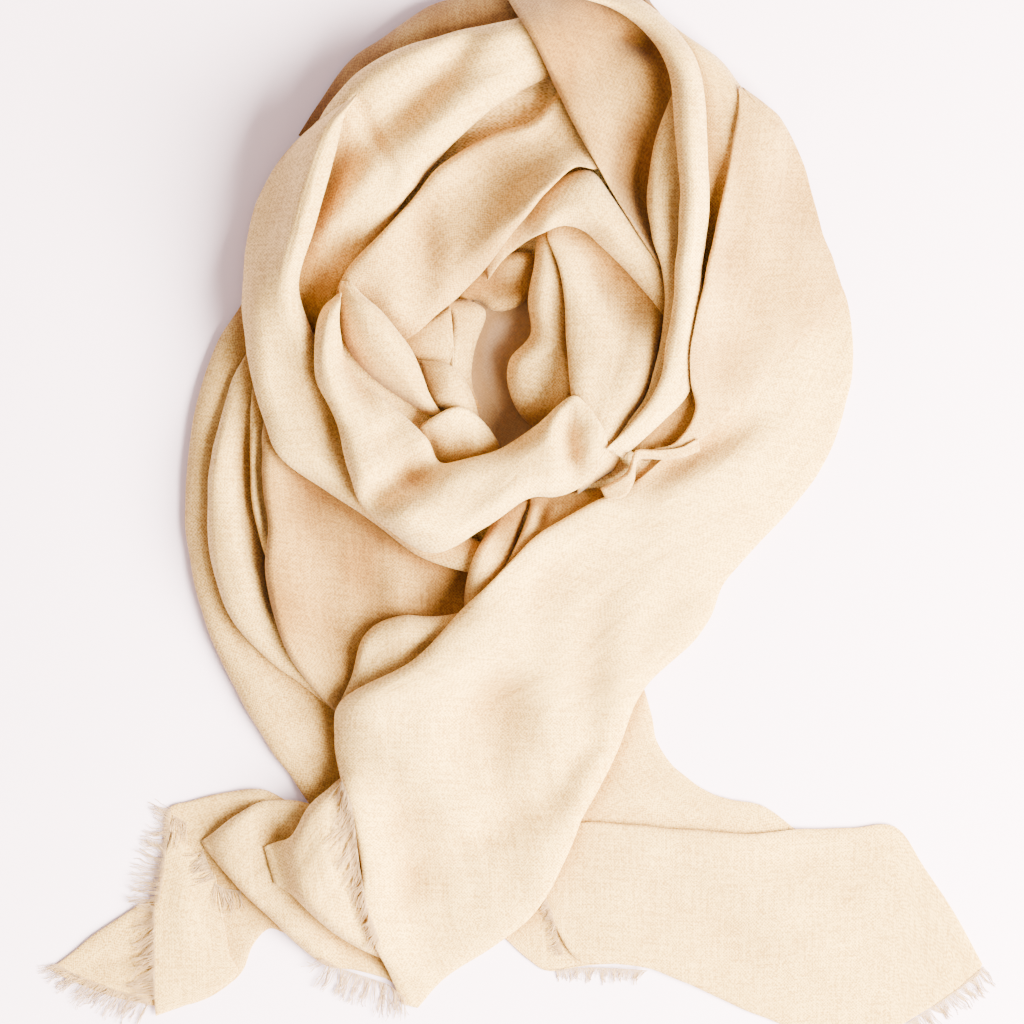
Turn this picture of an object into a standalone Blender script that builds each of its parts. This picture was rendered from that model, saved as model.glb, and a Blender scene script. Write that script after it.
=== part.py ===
"""A pashmina shawl laid flat in a loose coil, with both ends drawn out below it.

The shawl is one long sheet of gauze.  Each stretch of it that shows is a solid of its own: a
cloth wall carried through a row of sections, with rounded edges and its largest folds.  The
stretches are laid one after another, from the lowest to the topmost, and each one settles on
whatever lies beneath it, a hair clear of it.  The layers that nothing shows of share one rounded
solid, the core, which has the open middle of the coil through it.

The plan tables are in millimetres, +X to the right and +Y to the top of the coil, and heights
are measured up from the table top.  A section runs from its left edge to its right edge, as seen
when walking from the stretch's start to its end.
"""
from collections import namedtuple
from dataclasses import dataclass, field
import math

import bmesh
import bpy
import numpy as np

# ---------------------------------------------------------------- driving sizes, in millimetres
MM = 0.001                  # one millimetre in Blender's metres
WALL = 1.2                  # thickness of the cloth wall, doubled gauze
LAYER_GAP = 0.4             # air between two layers that lie on each other
SECTION_STEP = 22.0         # distance between two sections of the finished wall
END_FALL = 12.0             # length over which a tucked end comes down
HEAP_CELL = 1.0             # cell of the grid that remembers how high the heap is
HEAP_HALF = 285.0           # half the side of that grid
STEEPEST = 3.0              # a wall on a steep slope is thickened by at most this factor
SETTLE_ROUNDS = 60          # rounds of lifting a stretch off what lies beneath it
CLEAR_ENOUGH = 0.01         # a lift too small to matter
TUCKED_LOFT = 0.15          # share of the loft that a tucked end keeps
LEAST_LOFT = 0.3
BRIDGED_REACH = 6           # how far a stretch's middle reaches to the high points near it
BRIDGED_SPREAD = 8          # and how far it softens them
HEM_REACH = 2               # how far an edge looks for the height beneath it

HOLE_CENTRE = (-4.0, 72.0)  # the open middle of the coil
CORE_TURN = 15              # degrees between two rows of the core's table
CORE_SQUARE = 60.0          # longest side of the core's triangles
LEDGE_FALL = 6.0            # width of the last fall of the low layers to the table
LEDGE_TOP = 3.0             # least width of the low layers' flat top
LEDGE_RIM = 0.25            # share of the ledge's height that its rim keeps

CLOTH_COLOUR = (0.80, 0.66, 0.50, 1.0)
FRINGE_COLOUR = (0.84, 0.72, 0.58, 1.0)
HIDDEN_COLOUR = (0.62, 0.48, 0.34, 1.0)
CLOTH_ROUGHNESS = 0.85

# ------------------------------------------------------------------- the columns of the tables
Section = namedtuple("Section", "left_x left_y right_x right_y loft")
Fold = namedtuple("Fold", "start_x start_y middle_x middle_y end_x end_y rise reach")
Edge = namedtuple("Edge", "roll hem")       # radius of the rounded edge, and its height at the rim
CoreRow = namedtuple("CoreRow", "inner ring_reach ring_height reach ledge")


@dataclass
class Stretch:
    """One stretch of cloth, from its start to its end, with the folds that lie along it."""

    name: str
    left: Edge
    right: Edge
    tucked: tuple               # whether the start and the end dive under the next stretch
    sections: list
    folds: list = field(default_factory=list)
    flat_below: bool = False    # lies straight on the table, with a flat underside
    colour: tuple = CLOTH_COLOUR


# ------------------------------------------------- the hidden layers, a row each CORE_TURN degrees
# inner: from the middle to the hole's wall; ring_reach and ring_height: the coil itself;
# reach and ledge: the low layers that spread out from under it
CORE = [
    # inner, ring reach, ring height, reach, ledge
    (30, 150, 20, 158, 5),      # towards +X
    (38, 152, 20, 162, 5),
    (44, 154, 22, 164, 5),
    (48, 160, 24, 170, 5),
    (52, 160, 24, 172, 5),
    (54, 162, 24, 176, 5),
    (54, 168, 24, 180, 5),      # towards +Y
    (54, 158, 24, 172, 5),
    (50, 140, 24, 156, 5),
    (44, 126, 22, 142, 5),
    (38, 120, 22, 136, 5),
    (32, 112, 20, 126, 5),
    (28, 104, 20, 116, 5),      # towards -X
    (26, 96, 18, 128, 5),
    (26, 84, 18, 140, 5),
    (28, 78, 16, 150, 5),
    (34, 78, 16, 150, 5),
    (42, 84, 16, 215, 7),
    (46, 92, 16, 236, 8),       # towards -Y, under the front tail
    (44, 100, 18, 176, 8),
    (40, 108, 18, 140, 7),
    (36, 116, 18, 136, 6),
    (32, 126, 18, 144, 5),
    (30, 140, 20, 152, 5),
]
CORE_STATIONS = [
    # how far out between inner (0) and ring reach (1), share of the ring's height
    (0.00, 0.10),
    (0.04, 0.60),
    (0.14, 0.96),
    (0.40, 1.00),
    (0.72, 0.92),
    (1.00, 0.42),
]

# ------------------------------------------------------------- the stretches, lowest one first
# sections: left x, left y, right x, right y, loft
# folds:    start x, y, middle x, y, end x, y, rise, reach
STRETCHES = [
    Stretch("middle_floor", left=Edge(1, 0.2), right=Edge(1, 0.2), tucked=(False, False), sections=[
        (-9, 108, 2, 108, 0.3),
        (-15, 98, 8, 98, 0.3),
        (-18, 88, 11, 88, 0.3),
        (-19, 76, 12, 76, 0.3),
        (-17, 64, 10, 64, 0.3),
        (-14, 53, 8, 53, 0.3),
        (-8, 44, 3, 44, 0.3),
    ], flat_below=True),
    Stretch("right_tail_under", left=Edge(3, 0.4), right=Edge(2, 0.5), tucked=(False, False), sections=[
        (-11, -184, -5, -213, 1),
        (4, -184, 9, -225, 1),
        (17, -184, 20, -230, 1),
        (39, -184, 44, -227, 1),
        (64, -189, 69, -228, 1),
        (89, -194, 94, -237, 1),
    ], flat_below=True),
    Stretch("fringe_under_end", left=Edge(1.5, 0.3), right=Edge(1.5, 0.3), tucked=(False, False), sections=[
        (22, -236, 22, -229.5, 0.6),
        (38, -236, 38, -228.5, 0.6),
        (52, -236, 54, -229, 0.6),
        (66, -236, 68, -230, 0.6),
    ], flat_below=True, colour=FRINGE_COLOUR),
    Stretch("right_tail_flap", left=Edge(5, 0.5), right=Edge(6, 0.4), tucked=(True, True), sections=[
        (65, -84, 44, -89, 5),
        (70, -102, 39, -112, 5),
        (73, -115, 32, -134, 4),
        (82, -128, 27, -153, 4),
        (93, -137, 54, -164, 3),
        (108, -144, 89, -167, 3),
        (127, -148, 117, -168, 2.5),
        (142, -159, 137, -167, 2),
    ]),
    Stretch("right_tail_main", left=Edge(4, 0.4), right=Edge(3, 0.4), tucked=(False, False), sections=[
        (4, -159, 12, -187, 2),
        (17, -157, 22, -209, 3),
        (32, -156, 33, -225, 3),
        (49, -156, 52, -227, 4),
        (72, -158, 72, -230, 4),
        (97, -160, 97, -241, 4),
        (122, -161, 122, -252, 4),
        (147, -159, 147, -262, 3.5),
        (172, -158, 169, -267, 3),
        (193, -158, 188, -262, 2.5),
        (207, -178, 203, -253, 2),
        (222, -201, 218, -244, 2),
        (236, -227, 234, -233, 1.5),
    ], folds=[
        (40, -175, 110, -190, 180, -225, 2.5, 16),
        (60, -215, 120, -225, 160, -250, -2, 14),
    ], flat_below=True),
    Stretch("fringe_right_end", left=Edge(1.5, 0.3), right=Edge(1.5, 0.3), tucked=(False, False), sections=[
        (244, -236, 236.5, -228, 0.6),
        (232, -247, 224, -239, 0.6),
        (218, -256, 210, -249, 0.6),
        (204, -264, 197, -257.5, 0.6),
    ], flat_below=True, colour=FRINGE_COLOUR),
    Stretch("fringe_under_side", left=Edge(1.5, 0.3), right=Edge(1.5, 0.3), tucked=(False, False), sections=[
        (8, -190, 14, -186, 0.6),
        (15, -204, 20, -200, 0.6),
        (17, -216, 23, -213, 0.6),
        (20, -224, 26, -222, 0.6),
    ], colour=FRINGE_COLOUR),
    Stretch("left_tail_base", left=Edge(4, 0.4), right=Edge(4, 0.4), tucked=(True, False), sections=[
        (-91, -144, -81, -194, 3),
        (-106, -148, -96, -209, 4),
        (-125, -139, -111, -212, 5),
        (-144, -141, -122, -209, 4),
        (-161, -145, -130, -218, 3),
        (-175, -150, -135, -230, 2.5),
        (-182, -169, -144, -239, 2.5),
        (-187, -189, -156, -246, 3),
        (-195, -200, -166, -248, 3),
        (-209, -212, -181, -245, 3),
        (-222, -223, -199, -241, 2),
        (-233, -230, -222, -234, 1),
    ], flat_below=True),
    Stretch("fringe_left_end", left=Edge(1.5, 0.3), right=Edge(1.5, 0.3), tucked=(False, False), sections=[
        (-187, -146, -176, -150, 0.6),
        (-191, -162, -179, -165, 0.6),
        (-194, -176, -184, -179, 0.6),
        (-200, -190, -189, -193, 0.6),
    ], flat_below=True, colour=FRINGE_COLOUR),
    Stretch("fringe_left_corner", left=Edge(1.5, 0.3), right=Edge(1.5, 0.3), tucked=(False, False), sections=[
        (-239, -238, -231, -235.5, 0.6),
        (-228, -247, -220, -237.5, 0.6),
        (-213, -256, -205, -241, 0.6),
        (-196, -262, -190, -245, 0.6),
        (-180, -265, -179, -248, 0.6),
    ], flat_below=True, colour=FRINGE_COLOUR),
    Stretch("left_tail_top", left=Edge(2, 0.6), right=Edge(4, 0.4), tucked=(True, False), sections=[
        (-170, -159, -149, -182, 2),
        (-176, -179, -146, -197, 2.5),
        (-180, -197, -144, -209, 3),
        (-180, -217, -142, -222, 3),
        (-180, -237, -138, -232, 2.5),
        (-179, -253, -154, -244, 1.5),
    ]),
    Stretch("fringe_left_inner", left=Edge(1.5, 0.3), right=Edge(1.5, 0.3), tucked=(False, False), sections=[
        (-178, -154, -167, -152, 0.6),
        (-177, -168, -166, -165, 0.6),
        (-168, -183, -158, -179, 0.6),
        (-156, -203, -147, -197, 0.6),
    ], colour=FRINGE_COLOUR),
    Stretch("back_band", left=Edge(16, 0.5), right=Edge(8, 0.5), tucked=(True, True), sections=[
        (64, 256, 60, 240, 4),
        (44, 263, 44, 238, 9),
        (24, 265, 24, 236, 13),
        (-6, 264, -4, 232, 16),
        (-36, 256, -31, 228, 17),
        (-56, 244, -51, 220, 17),
        (-81, 226, -70, 205, 15),
        (-96, 206, -82, 192, 11),
        (-107, 189, -94, 181, 5),
    ]),
    Stretch("left_sweep_outer", left=Edge(8, 0.5), right=Edge(8, 0.5), tucked=(True, True), sections=[
        (-125, 124, -106, 106, 5),
        (-135, 105, -116, 91, 8),
        (-148, 84, -126, 71, 9),
        (-158, 56, -133, 51, 9),
        (-163, 26, -136, 25, 9),
        (-164, -4, -136, -3, 9),
        (-160, -32, -131, -27, 9),
        (-153, -57, -120, -47, 9),
        (-140, -87, -104, -69, 9),
        (-124, -114, -84, -92, 8),
        (-107, -139, -64, -117, 6),
        (-93, -158, -49, -137, 4),
    ]),
    Stretch("left_sweep_fold", left=Edge(5, 0.5), right=Edge(6, 0.5), tucked=(True, True), sections=[
        (-132, 81, -118, 75, 4),
        (-140, 66, -122, 60, 7),
        (-145, 51, -124, 46, 8),
        (-150, 31, -125, 28, 9),
        (-152, 11, -125, 10, 10),
        (-152, -14, -124, -14, 11),
        (-148, -34, -122, -32, 11),
        (-140, -54, -114, -50, 10),
        (-122, -74, -102, -64, 7),
        (-106, -86, -91, -78, 5),
        (-88, -101, -80, -94, 2),
    ], folds=[
        (-140, 20, -137, -5, -140, -25, 2, 6),
        (-132, -20, -130, -40, -126, -52, 2.5, 5),
    ]),
    Stretch("left_pleat", left=Edge(3.5, 0.5), right=Edge(4, 0.5), tucked=(True, True), sections=[
        (-130, 63, -113, 56, 4),
        (-131, 46, -111, 41, 7),
        (-131, 21, -113, 18, 8),
        (-130, 3, -116, 2, 8),
        (-125, -16, -114, -16, 9),
        (-120, -31, -111, -31, 9),
        (-115, -44, -107, -44, 8),
        (-110, -55, -103, -54, 4),
    ]),
    Stretch("centre_panel", left=Edge(5, 0.5), right=Edge(14, 0.5), tucked=(True, True), sections=[
        (-124, 48, -66, 36, 5),
        (-125, 31, -46, 11, 9),
        (-124, 11, -21, -14, 10),
        (-122, -9, -1, -31, 11),
        (-123, -28, 4, -49, 11),
        (-120, -48, -6, -69, 11),
        (-112, -71, -26, -94, 10),
        (-98, -90, -41, -116, 7),
        (-83, -105, -46, -139, 4),
    ], folds=[
        (-85, 5, -88, -35, -92, -75, 2.5, 9),
        (-60, -15, -70, -40, -78, -60, -2, 9),
    ]),
    Stretch("under_coil_left", left=Edge(5, 0.5), right=Edge(5, 0.5), tucked=(True, True), sections=[
        (2, 7, 10, 7, 5),
        (-7, 0, 7, 0, 8),
        (-14, -13, 3, -12, 10),
        (-20, -25, -2, -25, 10),
        (-23, -37, -11, -39, 8),
        (-24, -47, -17, -49, 4),
    ]),
    Stretch("under_coil_right", left=Edge(3.5, 0.5), right=Edge(5, 0.5), tucked=(True, True), sections=[
        (9, 7, 24, 8, 4),
        (7, -2, 22, -2, 7),
        (2, -14, 18, -14, 8),
        (-3, -27, 9, -27, 5),
    ]),
    Stretch("tail_pocket", left=Edge(6, 0.5), right=Edge(6, 0.5), tucked=(True, False), sections=[
        (-156, -165, -154, -169, 2),
        (-149, -160, -145, -180, 8),
        (-139, -152, -135, -191, 10),
        (-127, -145, -122, -203, 8),
        (-114, -144, -108, -217, 8),
        (-100, -146, -94, -227, 8),
        (-86, -149, -79, -230, 6),
        (-71, -169, -64, -234, 4),
        (-61, -194, -56, -239, 3),
    ], folds=[
        (-127, -146, -120, -157, -112, -165, -5, 7),
    ]),
    Stretch("front_tail_left", left=Edge(7, 0.5), right=Edge(9, 0.5), tucked=(True, True), sections=[
        (-136, -171, -134, -175, 2),
        (-124, -167, -116, -189, 7),
        (-110, -161, -102, -200, 12),
        (-102, -148, -89, -211, 14),
        (-93, -139, -76, -219, 13),
        (-83, -132, -63, -225, 9),
        (-69, -134, -54, -232, 5),
    ]),
    Stretch("tail_lobe", left=Edge(7, 0.5), right=Edge(6, 0.5), tucked=(True, True), sections=[
        (-6, -44, 4, -69, 4),
        (-28, -51, -21, -79, 8),
        (-44, -52, -41, -89, 10),
        (-56, -52, -56, -94, 11),
        (-68, -56, -64, -96, 10),
        (-76, -65, -67, -100, 9),
        (-80, -82, -66, -106, 7),
        (-86, -96, -64, -114, 4),
    ]),
    Stretch("outer_coil_left", left=Edge(26, 0.5), right=Edge(9, 0.5), tucked=(True, True), sections=[
        (-97, 195, -77, 208, 6),
        (-111, 183, -84, 194, 16),
        (-125, 162, -90, 170, 22),
        (-132, 138, -99, 138, 24),
        (-135, 106, -106, 112, 24),
        (-132, 78, -96, 81, 21),
        (-126, 53, -86, 56, 18),
        (-116, 28, -75, 31, 16),
        (-92, 10, -63, 17, 13),
        (-68, -6, -48, 3, 11),
        (-46, -22, -33, -6, 9),
        (-21, -30, -17, -14, 7),
        (-1, -33, 0, -19, 4),
    ]),
    Stretch("crown_fold_left", left=Edge(10, 0.5), right=Edge(12, 0.5), tucked=(True, True), sections=[
        (31, 256, 39, 228, 6),
        (1, 246, 18, 217, 15),
        (-31, 239, -6, 204, 18),
        (-56, 230, -28, 185, 20),
        (-76, 213, -44, 167, 20),
        (-84, 192, -55, 153, 19),
        (-91, 167, -62, 139, 16),
        (-98, 138, -78, 123, 12),
        (-105, 113, -91, 108, 7),
        (-102, 93, -96, 88, 3),
    ], folds=[
        (-10, 230, -35, 205, -62, 195, -7, 11),
        (-70, 208, -66, 190, -58, 172, 3, 5),
        (-78, 190, -88, 165, -97, 140, -6, 6),
    ]),
    Stretch("hole_wall_top", left=Edge(5, 0.5), right=Edge(6, 0.5), tucked=(True, True), sections=[
        (-25, 113, -28, 103, 3),
        (-17, 121, -18, 106, 5),
        (-8, 128, -10, 101, 7),
        (0, 130, 0, 102, 7),
        (9, 130, 8, 107, 6),
        (16, 126, 14, 113, 3),
    ]),
    Stretch("hole_wall_left", left=Edge(4, 0.5), right=Edge(6, 0.5), tucked=(True, True), sections=[
        (-36, 106, -22, 107, 4),
        (-31, 97, -13, 100, 8),
        (-32, 83, -18, 83, 9),
        (-32, 72, -20, 70, 8),
        (-28, 60, -19, 60, 6),
        (-23, 50, -15, 52, 3),
    ]),
    Stretch("hole_step", left=Edge(4, 0.5), right=Edge(4, 0.5), tucked=(True, True), sections=[
        (-58, 86, -31, 103, 3),
        (-50, 80, -29, 86, 4),
        (-45, 74, -29, 70, 3),
    ]),
    Stretch("hole_wall_front", left=Edge(7, 0.5), right=Edge(4, 0.5), tucked=(True, True), sections=[
        (-47, 76, -43, 63, 5),
        (-33, 74, -38, 53, 9),
        (-25, 68, -32, 50, 10),
        (-19, 57, -26, 43, 9),
        (-15, 45, -18, 36, 7),
        (-6, 32, -11, 26, 4),
    ]),
    Stretch("inner_arch", left=Edge(9, 0.5), right=Edge(10, 0.5), tucked=(True, True), sections=[
        (78, 103, 66, 101, 5),
        (72, 124, 55, 122, 12),
        (62, 141, 44, 133, 16),
        (50, 158, 35, 140, 19),
        (39, 170, 25, 142, 20),
        (24, 167, 15, 139, 17),
        (9, 158, 6, 134, 12),
        (-6, 143, -5, 125, 8),
        (-17, 131, -12, 116, 4),
    ]),
    Stretch("inner_panel", left=Edge(7, 0.5), right=Edge(11, 0.5), tucked=(True, True), sections=[
        (39, 213, 54, 181, 5),
        (24, 210, 43, 171, 10),
        (9, 195, 31, 171, 12),
        (-11, 188, 18, 159, 13),
        (-36, 172, 1, 140, 14),
        (-53, 152, -12, 123, 14),
        (-70, 134, -25, 109, 13),
        (-81, 122, -37, 99, 11),
        (-87, 111, -48, 89, 8),
        (-88, 101, -56, 85, 4),
    ], folds=[
        (20, 185, -15, 155, -45, 125, -4, 12),
    ]),
    Stretch("hole_roll_right", left=Edge(10, 0.5), right=Edge(6, 0.5), tucked=(True, True), sections=[
        (12, 134, 22, 130, 6),
        (11, 122, 27, 113, 11),
        (8, 106, 29, 96, 13),
        (9, 89, 29, 81, 13),
        (-1, 77, 31, 70, 14),
        (-2, 64, 32, 58, 13),
        (3, 51, 30, 50, 9),
        (11, 42, 24, 43, 4),
    ]),
    Stretch("inner_wall_left", left=Edge(9, 0.5), right=Edge(8, 0.5), tucked=(True, True), sections=[
        (-81, 117, -72, 114, 5),
        (-85, 107, -65, 100, 12),
        (-85, 93, -56, 89, 15),
        (-82, 81, -49, 80, 15),
        (-72, 69, -45, 69, 13),
        (-57, 58, -40, 57, 9),
        (-41, 48, -33, 47, 4),
    ]),
    Stretch("box_pleat", left=Edge(3.5, 0.5), right=Edge(5, 0.5), tucked=(True, True), sections=[
        (-47, 41, -46, 38, 3),
        (-42, 44, -40, 25, 9),
        (-36, 48, -33, 22, 10),
        (-28, 52, -26, 23, 9),
        (-18, 47, -16, 26, 7),
        (-11, 39, -8, 30, 3),
    ]),
    Stretch("inner_coil_front", left=Edge(16, 0.5), right=Edge(14, 0.5), tucked=(True, True), sections=[
        (-94, 111, -84, 114, 4),
        (-98, 86, -85, 90, 12),
        (-97, 64, -80, 70, 15),
        (-87, 43, -60, 53, 18),
        (-81, 18, -43, 37, 20),
        (-71, -1, -36, 25, 22),
        (-41, -20, -23, 27, 23),
        (-15, -10, -6, 32, 23),
        (6, 7, 11, 43, 22),
        (30, 10, 28, 57, 18),
        (45, 22, 36, 63, 7),
    ], folds=[
        (-70, 5, -58, 8, -45, 20, -6, 8),
    ]),
    Stretch("inner_coil_right", left=Edge(14, 0.5), right=Edge(9, 0.5), tucked=(True, True), sections=[
        (61, 143, 18, 138, 6),
        (73, 123, 22, 125, 10),
        (76, 106, 26, 106, 13),
        (74, 86, 27, 83, 16),
        (70, 67, 29, 62, 19),
        (62, 52, 32, 43, 20),
        (54, 38, 36, 27, 18),
        (46, 25, 40, 15, 9),
    ], folds=[
        (30, 128, 52, 110, 66, 96, -8, 12),
    ]),
    Stretch("right_coil_valley", left=Edge(6, 0.5), right=Edge(9, 0.5), tucked=(True, True), sections=[
        (57, 262, 67, 255, 5),
        (72, 249, 85, 240, 9),
        (82, 236, 100, 227, 11),
        (88, 219, 112, 211, 10),
        (92, 196, 117, 191, 8),
        (93, 169, 114, 166, 6),
        (93, 141, 109, 140, 5),
        (89, 114, 102, 111, 5),
        (86, 89, 97, 85, 5),
        (80, 64, 94, 59, 5),
        (72, 46, 87, 40, 4),
        (59, 31, 67, 25, 2),
    ]),
    Stretch("top_right_panel", left=Edge(4, 1.2), right=Edge(8, 0.5), tucked=(True, True), sections=[
        (-6, 263, 69, 257, 8),
        (1, 250, 80, 239, 12),
        (11, 233, 87, 214, 13),
        (22, 210, 88, 191, 12),
        (34, 187, 86, 169, 10),
        (47, 164, 84, 149, 8),
        (61, 142, 83, 134, 6),
        (73, 123, 81, 120, 3),
    ], folds=[
        (78, 225, 72, 195, 62, 165, -8, 11),
    ]),
    Stretch("right_coil_inner", left=Edge(6, 0.5), right=Edge(6, 0.5), tucked=(True, True), sections=[
        (80, 209, 92, 211, 4),
        (72, 187, 92, 189, 9),
        (68, 167, 93, 167, 11),
        (67, 152, 93, 152, 12),
        (70, 136, 92, 136, 11),
        (75, 120, 91, 119, 10),
        (76, 101, 89, 99, 9),
        (73, 79, 86, 76, 8),
        (67, 59, 78, 54, 7),
        (58, 45, 67, 39, 6),
        (48, 31, 55, 27, 3),
    ]),
    Stretch("right_coil_mid", left=Edge(7, 0.5), right=Edge(8, 0.5), tucked=(True, True), sections=[
        (24, 259, 44, 265, 4),
        (49, 252, 66, 256, 10),
        (67, 239, 85, 237, 14),
        (78, 220, 94, 219, 16),
        (81, 191, 97, 191, 16),
        (83, 156, 98, 156, 16),
        (81, 121, 95, 121, 15),
        (78, 91, 92, 91, 13),
        (72, 62, 89, 62, 10),
        (60, 45, 74, 44, 8),
        (47, 31, 59, 30, 3),
    ]),
    Stretch("front_tail", left=Edge(12, 0.5), right=Edge(12, 0.5), tucked=(True, False), sections=[
        (129, 111, 169, 89, 3),
        (112, 84, 170, 70, 6),
        (97, 56, 165, 44, 8),
        (82, 34, 153, 19, 10),
        (62, 16, 137, -2, 12),
        (37, 3, 120, -20, 13),
        (15, -10, 106, -36, 14),
        (-6, -30, 100, -52, 15),
        (-29, -53, 89, -67, 16),
        (-50, -74, 72, -82, 17),
        (-84, -93, 61, -97, 17),
        (-89, -114, 54, -117, 17),
        (-86, -133, 44, -138, 16),
        (-79, -154, 34, -157, 14),
        (-75, -177, 24, -180, 12),
        (-74, -197, 10, -202, 10),
        (-68, -218, -9, -218, 8),
        (-60, -235, -34, -234, 5),
        (-55, -247, -47, -249, 2),
    ], folds=[
        (-5, -95, -3, -115, -8, -135, -5, 12),
        (38, -70, 38, -90, 34, -105, -4, 8),
        (-45, -205, -55, -195, -62, -188, -4, 6),
        (10, -140, -20, -160, -55, -185, 3, 9),
    ]),
    Stretch("fringe_front_side", left=Edge(1.5, 0.3), right=Edge(1.5, 0.3), tucked=(False, False), sections=[
        (-93, -142, -84, -139, 0.6),
        (-99, -156, -89, -154, 0.6),
        (-97, -170, -86, -170, 0.6),
        (-92, -182, -80, -184, 0.6),
        (-86, -196, -74, -198, 0.6),
        (-76, -212, -66, -214, 0.6),
    ], colour=FRINGE_COLOUR),
    Stretch("fringe_front_end", left=Edge(1.5, 0.3), right=Edge(1.5, 0.3), tucked=(False, False), sections=[
        (-106, -231, -94, -224, 0.6),
        (-92, -243, -86, -229, 0.6),
        (-78, -247, -74, -233, 0.6),
        (-64, -254, -62, -237, 0.6),
        (-52, -255, -54, -243, 0.6),
    ], colour=FRINGE_COLOUR),
    Stretch("outer_right_panel", left=Edge(3, 3), right=Edge(9, 0.6), tucked=(True, True), sections=[
        (108, 217, 115, 212, 3),
        (111, 200, 135, 196, 9),
        (109, 171, 147, 174, 10),
        (104, 142, 157, 142, 9),
        (97, 115, 167, 116, 8),
        (90, 92, 168, 93, 7),
        (88, 70, 130, 70, 6),
        (91, 50, 105, 46, 5),
        (82, 35, 89, 32, 4),
        (70, 31, 72, 26, 3),
    ]),
    Stretch("wavy_edge", left=Edge(2, 2), right=Edge(2, 1.5), tucked=(True, True), sections=[
        (74, 31, 75, 26, 3),
        (62, 31, 64, 26, 4),
        (59, 25, 62, 21, 5),
        (57, 20, 61, 15, 5),
        (50, 16, 56, 8, 5),
        (45, 20, 46, 5, 6),
        (36, 14, 34, 3, 6),
        (24, 10, 17, 1, 4),
    ]),
]


# ------------------------------------------------------------------------- laying the cloth
class Heap:
    """How high the heap stands, remembered on a square grid seen from above."""

    def __init__(self):
        self.count = int(2 * HEAP_HALF / HEAP_CELL)
        self.top = np.zeros((self.count, self.count))

    def cell(self, x, y):
        """Return the grid indices of the cells that hold the points."""
        row = np.clip(((x + HEAP_HALF) / HEAP_CELL).astype(int), 0, self.count - 1)
        column = np.clip(((y + HEAP_HALF) / HEAP_CELL).astype(int), 0, self.count - 1)
        return row, column

    def lay(self, x, y, z):
        """Raise the cells under the points to at least their heights."""
        np.maximum.at(self.top, self.cell(x, y), z)

    def grown(self, reach):
        """Return the heap with each cell raised to the highest one within reach."""
        high = self.top.copy()
        for _ in range(max(1, round(reach / HEAP_CELL))):
            high[1:] = np.maximum(high[1:], high[:-1].copy())
            high[:-1] = np.maximum(high[:-1], high[1:].copy())
            high[:, 1:] = np.maximum(high[:, 1:], high[:, :-1].copy())
            high[:, :-1] = np.maximum(high[:, :-1], high[:, 1:].copy())
        return high

    def softened(self, reach, blur):
        """Return the heap as a thick soft cloth over it would see it."""
        spread = blur / HEAP_CELL
        steps = np.arange(-int(3 * spread), int(3 * spread) + 1)
        weights = np.exp(-steps ** 2 / (2 * spread ** 2))
        weights /= weights.sum()
        pad = len(steps) // 2
        high = self.grown(reach)
        for _ in range(2):
            wide = np.pad(high, ((pad, pad), (0, 0)), mode="edge")
            high = sum(w * wide[k:k + len(high)] for k, w in enumerate(weights)).T
        return high

    def read(self, height, x, y):
        """Return a grid's values at the points."""
        return height[self.cell(x, y)]


def smoothed(rows, count):
    """Carry a smooth curve through the rows and cut it into count even steps."""
    table = np.array(rows, float)
    last = len(table) - 1
    padded = np.vstack([2 * table[0] - table[1], table, 2 * table[-1] - table[-2]])
    places = np.linspace(0, last, 40 * last + 1)
    first = np.minimum(places.astype(int), last - 1)
    part = (places - first)[:, None]
    a, b, c, d = (padded[first + k] for k in range(4))
    curve = 0.5 * (2 * b + (c - a) * part + (2 * a - 5 * b + 4 * c - d) * part ** 2
                   + (3 * b - a - 3 * c + d) * part ** 3)
    middle = (curve[:, 0:2] + curve[:, 2:4]) / 2
    walked = np.concatenate([[0], np.cumsum(np.linalg.norm(np.diff(middle, axis=0), axis=1))])
    even = np.linspace(0, walked[-1], count)
    return np.stack([np.interp(even, walked, column) for column in curve.T], axis=1), walked[-1]


def across(width, left, right):
    """Return the columns of one section: how far from the left edge, and the share of the loft."""
    squeeze = min(1.0, width / (left.roll + right.roll + 2))
    near, far = left.roll * squeeze, right.roll * squeeze
    flat = np.linspace(near, width - far, 4 if width > 70 else 3)
    place = np.concatenate([[0, 0.3 * near], flat, [width - 0.3 * far, width]])
    share = np.concatenate([[0, 0.7], np.ones(len(flat)), [0.7, 0]])
    return place, share


def fold_rise(x, y, fold):
    """Return how much one fold lifts or lowers the points: a soft ridge or trough on a curve."""
    t = np.linspace(0, 1, 16)
    start, end = np.array([fold.start_x, fold.start_y]), np.array([fold.end_x, fold.end_y])
    pull = 2 * np.array([fold.middle_x, fold.middle_y]) - (start + end) / 2
    line = ((1 - t) ** 2)[:, None] * start + (2 * t * (1 - t))[:, None] * pull + (t ** 2)[:, None] * end
    away = (x[..., None] - line[:, 0]) ** 2 + (y[..., None] - line[:, 1]) ** 2
    fade = np.sin(np.pi * np.clip(t, 0.1, 0.9))[away.argmin(axis=-1)]
    return fold.rise * fade * np.exp(-away.min(axis=-1) / fold.reach ** 2)


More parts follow.
